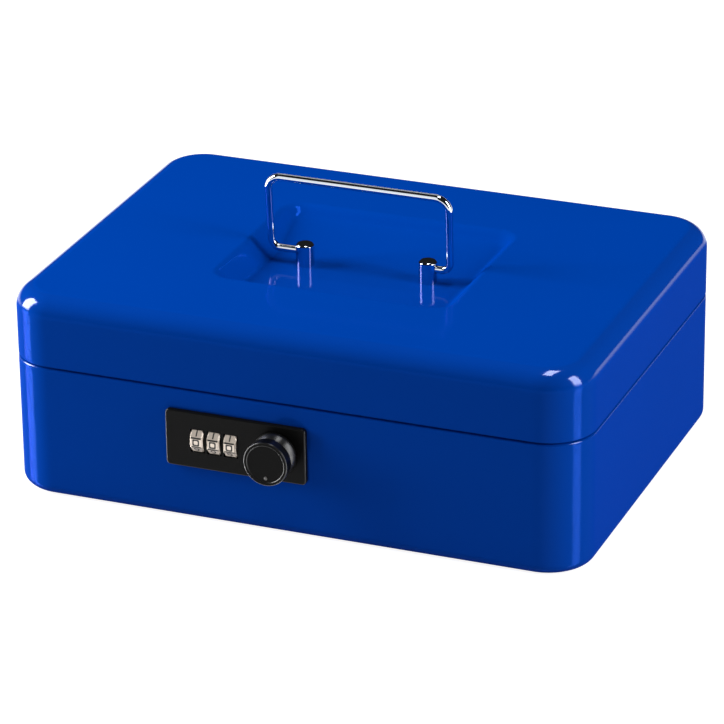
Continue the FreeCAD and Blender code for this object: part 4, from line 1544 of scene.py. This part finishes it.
@dataclass
class Knob:
    """The turning knob with its waisted collar, and the index stud in its face."""

    collar: float = 5.0 * MM
    collar_crest: float = 0.8 * MM
    collar_foot: float = 0.3 * MM
    collar_bend: float = 1.35
    collar_steps: int = 12
    groove: float = 2.4 * MM
    groove_width: float = 0.9 * MM
    edge: float = 0.5 * MM
    ease: float = 0.1 * MM
    tip: float = 0.2 * MM
    face_ring: float = 1.4 * MM
    face_depth: float = 0.35 * MM
    ring_ease: float = 0.12 * MM
    dish_rise: float = 0.08 * MM
    dish_ease: float = 0.25 * MM
    stud_round: float = 0.2 * MM
    sides: int = 96

    def build(self) -> list[Piece]:
        """Makes the knob.

        Returns:
            The knob and its index stud.
        """
        low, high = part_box("knob")
        radius, length = (high.x - low.x) / 2, high.y - low.y
        edge, ease, neck = self.edge, self.ease, radius - self.groove
        dish, floor = radius - self.face_ring, length - self.face_depth
        groove_end = self.collar + self.groove_width
        profile = [
            (self.tip, 0.0), *self._collar(neck, radius),
            (neck, self.collar + ease), (neck, groove_end - ease), (neck + ease, groove_end),
            *arc((radius - edge, groove_end + edge), edge, -80, 0, 5),
            *arc((radius - edge, length - edge), edge, 0, 90, 6),
            (dish + self.ring_ease, length), (dish, length - ease),
            (dish - ease, floor + self.dish_rise), (dish - self.dish_ease, floor),
            (self.tip, floor),
        ]
        knob = self._turned("knob_turned", "knob", profile, self.sides, Finishes.KNOB)
        return [knob, self._stud()]

    def _turned(self, name: str, node: str, profile: list[Point], sides: int,
                finish: Finish) -> Piece:
        """Makes one piece that is turned about the knob's axis and faces forward.

        Args:
            name: the piece's name.
            node: the node that it stands for.
            profile: its radius and height from back to front.
            sides: how many sides it has.
            finish: its finish.

        Returns:
            The piece.
        """
        center, back = center_of(node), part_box(node)[1].y
        place = (center.x, back, center.z)
        piece = set_out(name, lathe(profile, sides), place, Axis.FORWARD)
        return seat(piece, finish, Body.KNOB, node, crease=Crease.TURNED)

    def _collar(self, neck: float, radius: float) -> list[Point]:
        """The collar's section, which swells to a crest and then falls away to the neck.

        Args:
            neck: the radius where it ends.
            radius: the radius at its crest.

        Returns:
            Radius and height along it.
        """
        crest = self.collar_crest
        points = arc((radius - self.collar_foot, crest / 2), self.collar_foot, -90, 0, 4)
        for step in range(1, self.collar_steps + 1):
            share = step / self.collar_steps
            drop = (radius - neck) * share ** self.collar_bend
            points.append((radius - drop, crest + (self.collar - crest) * share))
        return points

    def _stud(self) -> Piece:
        """Makes the index stud.

        Returns:
            The stud.
        """
        low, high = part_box("knob_index")
        radius, shoulder = (high.x - low.x) / 2, high.y - low.y - self.stud_round
        profile = [(radius, 0.0), (radius, shoulder)]
        profile += arc((radius - self.stud_round, shoulder), self.stud_round, 20, 90, 4)
        return self._turned("knob_index_stud", "knob_index", profile, FEW_SIDES, Finishes.INDEX)


@dataclass
class LockScrews:
    """The four screws that hold the lock from inside the box."""

    head: float = 2.2 * MM
    shank: float = 1.25 * MM
    socket: float = 1.2 * MM
    socket_depth: float = 0.8 * MM
    ease: float = 0.3 * MM

    def build(self) -> list[Piece]:
        """Makes the screws.

        Returns:
            The four screws as one piece.
        """
        low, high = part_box("lock_screws")
        head, shank, ease = self.head, self.shank, self.ease
        length, neck = high.y - low.y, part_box("lock_cover")[1].y - low.y
        profile = [(shank - ease, 0.0), (shank, ease), (shank, neck), (head - ease / 2, neck),
                   (head, neck + ease / 2), *arc((head - ease, length - ease), ease, 0, 90, 4)]
        copy = set_out("screw", lathe(profile, FEW_SIDES), (0, 0, 0), Axis.BACKWARD)
        socket = lathe([(self.socket, 0.0), (self.socket, 2 * self.socket_depth)], HEXAGON)
        bottom = Matrix.Translation((0, length - self.socket_depth, 0))
        socket.transform(bottom @ Axis.BACKWARD.value)
        carve(copy, [socket])
        piece = as_object("lock_screw_set", bmesh.new())
        start = Vector((low.x + head, low.y, low.z + head))
        across = Vector((high.x - low.x - 2 * head, 0.0, 0.0))
        upward = Vector((0.0, 0.0, high.z - low.z - 2 * head))
        CopyGrid.apply(piece, copy, Finishes.STEEL, start, (2, across), (2, upward))
        return [seat(piece, Finishes.STEEL, Body.BOX, "lock_screws")]


@dataclass
class InnerWorks:
    """The pieces inside the box, taken over from the frame with merged faces and smooth shading."""

    merge: float = 0.002 * MM
    flat_angle: float = 0.4
    plan: tuple[tuple[str, Body, Finish], ...] = (
        ("tray_ledge_left", Body.BOX, Finishes.PAINT),
        ("tray_ledge_right", Body.BOX, Finishes.PAINT),
        ("lid_striker", Body.LID, Finishes.PAINT),
        ("lock_housing", Body.BOX, Finishes.ZINC),
        ("lock_cover", Body.BOX, Finishes.ZINC),
        ("detent_spring", Body.BOX, Finishes.STEEL),
        ("toothed_bolt", Body.BOLT, Finishes.STEEL),
        ("follower_pin", Body.BOLT, Finishes.STEEL),
        ("knob_spindle", Body.KNOB, Finishes.STEEL),
        ("scroll_cam", Body.KNOB, Finishes.ZINC),
        ("latch_cam", Body.KNOB, Finishes.STEEL),
        ("cam_nut", Body.KNOB, Finishes.STEEL),
        ("reset_lever", Body.LEVER, Finishes.PLASTIC),
        ("wheel_sleeve_1", Body.WHEEL_1, Finishes.ZINC),
        ("wheel_sleeve_2", Body.WHEEL_2, Finishes.ZINC),
        ("wheel_sleeve_3", Body.WHEEL_3, Finishes.ZINC),
        ("coin_tray", Body.TRAY, Finishes.PLASTIC),
    )

    def build(self) -> list[Piece]:
        """Makes one piece for each node in the plan."""
        return [self._copy(node, body, finish) for node, body, finish in self.plan]

    def _copy(self, node: str, body: Body, finish: Finish) -> Piece:
        """Makes a merged, smooth copy of one node.

        Args:
            node: the node's name.
            body: the body that it rides on.
            finish: its finish.

        Returns:
            The copy.
        """
        made = bmesh.new()
        made.from_mesh(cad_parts[node].data)
        bmesh.ops.remove_doubles(made, verts=made.verts, dist=self.merge)
        bmesh.ops.dissolve_limit(made, angle_limit=math.radians(self.flat_angle),
                                 verts=made.verts, edges=made.edges)
        piece = as_object(f"{node}_finished", made)
        return seat(piece, finish, body, node, crease=Crease.COPIED)


@dataclass
class SoftLight:
    """A rectangular lamp that looks at one point, on the whole box or on some pieces only."""

    name: str
    place: Triple
    target: Triple
    width: float
    height: float
    power: float
    lit: tuple[str, ...] = ()

    def build(self) -> None:
        """Makes the lamp."""
        lamp = bpy.data.lights.new(self.name, "AREA")
        lamp.shape = "RECTANGLE"
        lamp.size, lamp.size_y = self.width, self.height
        lamp.energy = self.power
        holder = bpy.data.objects.new(self.name, lamp)
        holder.location = self.place
        toward = Vector(self.target) - Vector(self.place)
        holder.rotation_mode = "QUATERNION"
        holder.rotation_quaternion = toward.to_track_quat("-Z", "Y")
        holder.visible_camera = False
        bpy.context.scene.collection.objects.link(holder)
        if self.lit:
            pieces = bpy.data.collections.new(f"{self.name}_pieces")
            for name in self.lit:
                pieces.objects.link(bpy.data.objects[name])
            holder.light_linking.receiver_collection = pieces


@dataclass
class PhotoCamera:
    """The camera at the photograph's place, with the lens worked out from its pixels."""

    place: Triple = (0.602730, -1.506416, 0.762927)
    azimuth: float = 21.889
    elevation: float = 24.050
    roll: float = -0.757
    focal_pixels: float = 4233.6
    frame_pixels: float = 724.0
    sensor: float = 36.0
    farthest: float = 100.0

    def build(self) -> None:
        """Makes the camera and sets it as the scene's own."""
        data = bpy.data.cameras.new("photo_camera")
        data.sensor_width = self.sensor
        data.lens = self.focal_pixels / self.frame_pixels * self.sensor
        data.clip_end = self.farthest
        holder = bpy.data.objects.new("photo_camera", data)
        turn, rise = math.radians(self.azimuth), math.radians(self.elevation)
        back = Vector((math.sin(turn) * math.cos(rise), -math.cos(turn) * math.cos(rise),
                       math.sin(rise)))
        level = back.to_track_quat("Z", "Y").to_matrix().to_4x4()
        rolled = level @ Matrix.Rotation(math.radians(self.roll), 4, "Z")
        holder.matrix_world = Matrix.Translation(self.place) @ rolled
        bpy.context.scene.collection.objects.link(holder)
        bpy.context.scene.camera = holder


@dataclass
class Studio:
    """The pale floor, the dim surroundings, the lamps and the camera."""

    floor_half: float = 9.0
    floor_color: float = 0.45
    floor_glow: float = 0.90
    surround: float = 0.015
    floor_gloss: float = 0.8
    floor_rough: float = 0.15
    lamps: tuple[SoftLight, ...] = (
        SoftLight("overhead", (0.12, 0.0, 1.30), (0.06, 0.0, 0.0), 0.66, 0.27, 6.2),
        SoftLight("right_strip", (1.19, -0.115, 0.60), (0.0, 0.0, 0.30), 0.40, 1.10, 13.0),
        SoftLight("left_strip", (-0.93, -0.20, 0.42), (0.0, 0.0, 0.25), 0.38, 0.74, 16.0),
        SoftLight("metal_card", (-0.56, -1.39, 0.68), (0.0, 0.0, 0.20), 0.80, 1.36, 3.6,
                  ("bail_wire", *(f"number_wheel_{number}_flats" for number in (1, 2, 3)))),
        SoftLight("handle_panel", (-0.55, 1.25, 1.35), (0.0, 0.05, 0.08), 1.1, 0.5, 1.8,
                  ("bail_wire",)),
    )

    def build(self) -> None:
        """Makes the studio."""
        bpy.context.scene.view_settings.view_transform = "Standard"
        self._floor()
        self._surround()
        for lamp in self.lamps:
            lamp.build()
        PhotoCamera().build()

    def _floor(self) -> None:
        """Makes the polished floor, which shows white to the camera and takes the box's shadow."""
        half = self.floor_half
        made = bmesh.new()
        made.faces.new([made.verts.new((x * half, y * half, 0.0))
                        for x, y in ((-1, -1), (1, -1), (1, 1), (-1, 1))])
        floor = as_object("floor", made)
        material = bpy.data.materials.new("pale_floor")
        material.use_nodes = True
        sheet = NodeSheet(material.node_tree)
        paper = sheet.out("ShaderNodeBsdfDiffuse", {"Color": (self.floor_color,) * 3 + (1.0,)})
        path = sheet.add("ShaderNodeLightPath").outputs
        seen = sheet.math("MAXIMUM", path["Is Camera Ray"], path["Is Glossy Ray"])
        seen = sheet.math("MAXIMUM", seen, path["Is Transmission Ray"])
        strength = sheet.math("MULTIPLY", seen, self.floor_glow)
        glow = sheet.out("ShaderNodeEmission", {"Strength": strength})
        both = sheet.out("ShaderNodeAddShader", {0: paper, 1: glow})
        polish = sheet.math("MULTIPLY", path["Is Glossy Ray"], self.floor_gloss)
        sheen = sheet.out("ShaderNodeBsdfGlossy", {"Color": polish, "Roughness": self.floor_rough})
        whole = sheet.out("ShaderNodeAddShader", {0: both, 1: sheen})
        sheet.add("ShaderNodeOutputMaterial", {"Surface": whole})
        floor.data.materials.append(material)

    def _surround(self) -> None:
        """Makes the dim even surroundings."""
        world = bpy.data.worlds.new("surroundings")
        world.use_nodes = True
        sheet = NodeSheet(world.node_tree)
        light = sheet.out("ShaderNodeBackground",
                          {"Color": (1.0, 1.0, 1.0, 1.0), "Strength": self.surround})
        sheet.add("ShaderNodeOutputWorld", {"Surface": light})
        bpy.context.scene.world = world


def main() -> None:
    """Builds every sub-assembly in order, then the studio."""
    logging.basicConfig(level=logging.INFO, format="%(name)s: %(message)s")
    assemblies: list[Any] = [BodyShell(), LidShell(), Hinge(), BailHandle(), LockFront()]
    for number, body in enumerate((Body.WHEEL_1, Body.WHEEL_2, Body.WHEEL_3), start=1):
        assemblies.append(NumberWheel(number, body))
    assemblies += [Knob(), LockScrews(), InnerWorks()]
    for assembly in assemblies:
        pieces = assembly.build()
        log.info("%s: %d pieces", type(assembly).__name__, len(pieces))
    Studio().build()


if __name__ == "__main__":
    main()
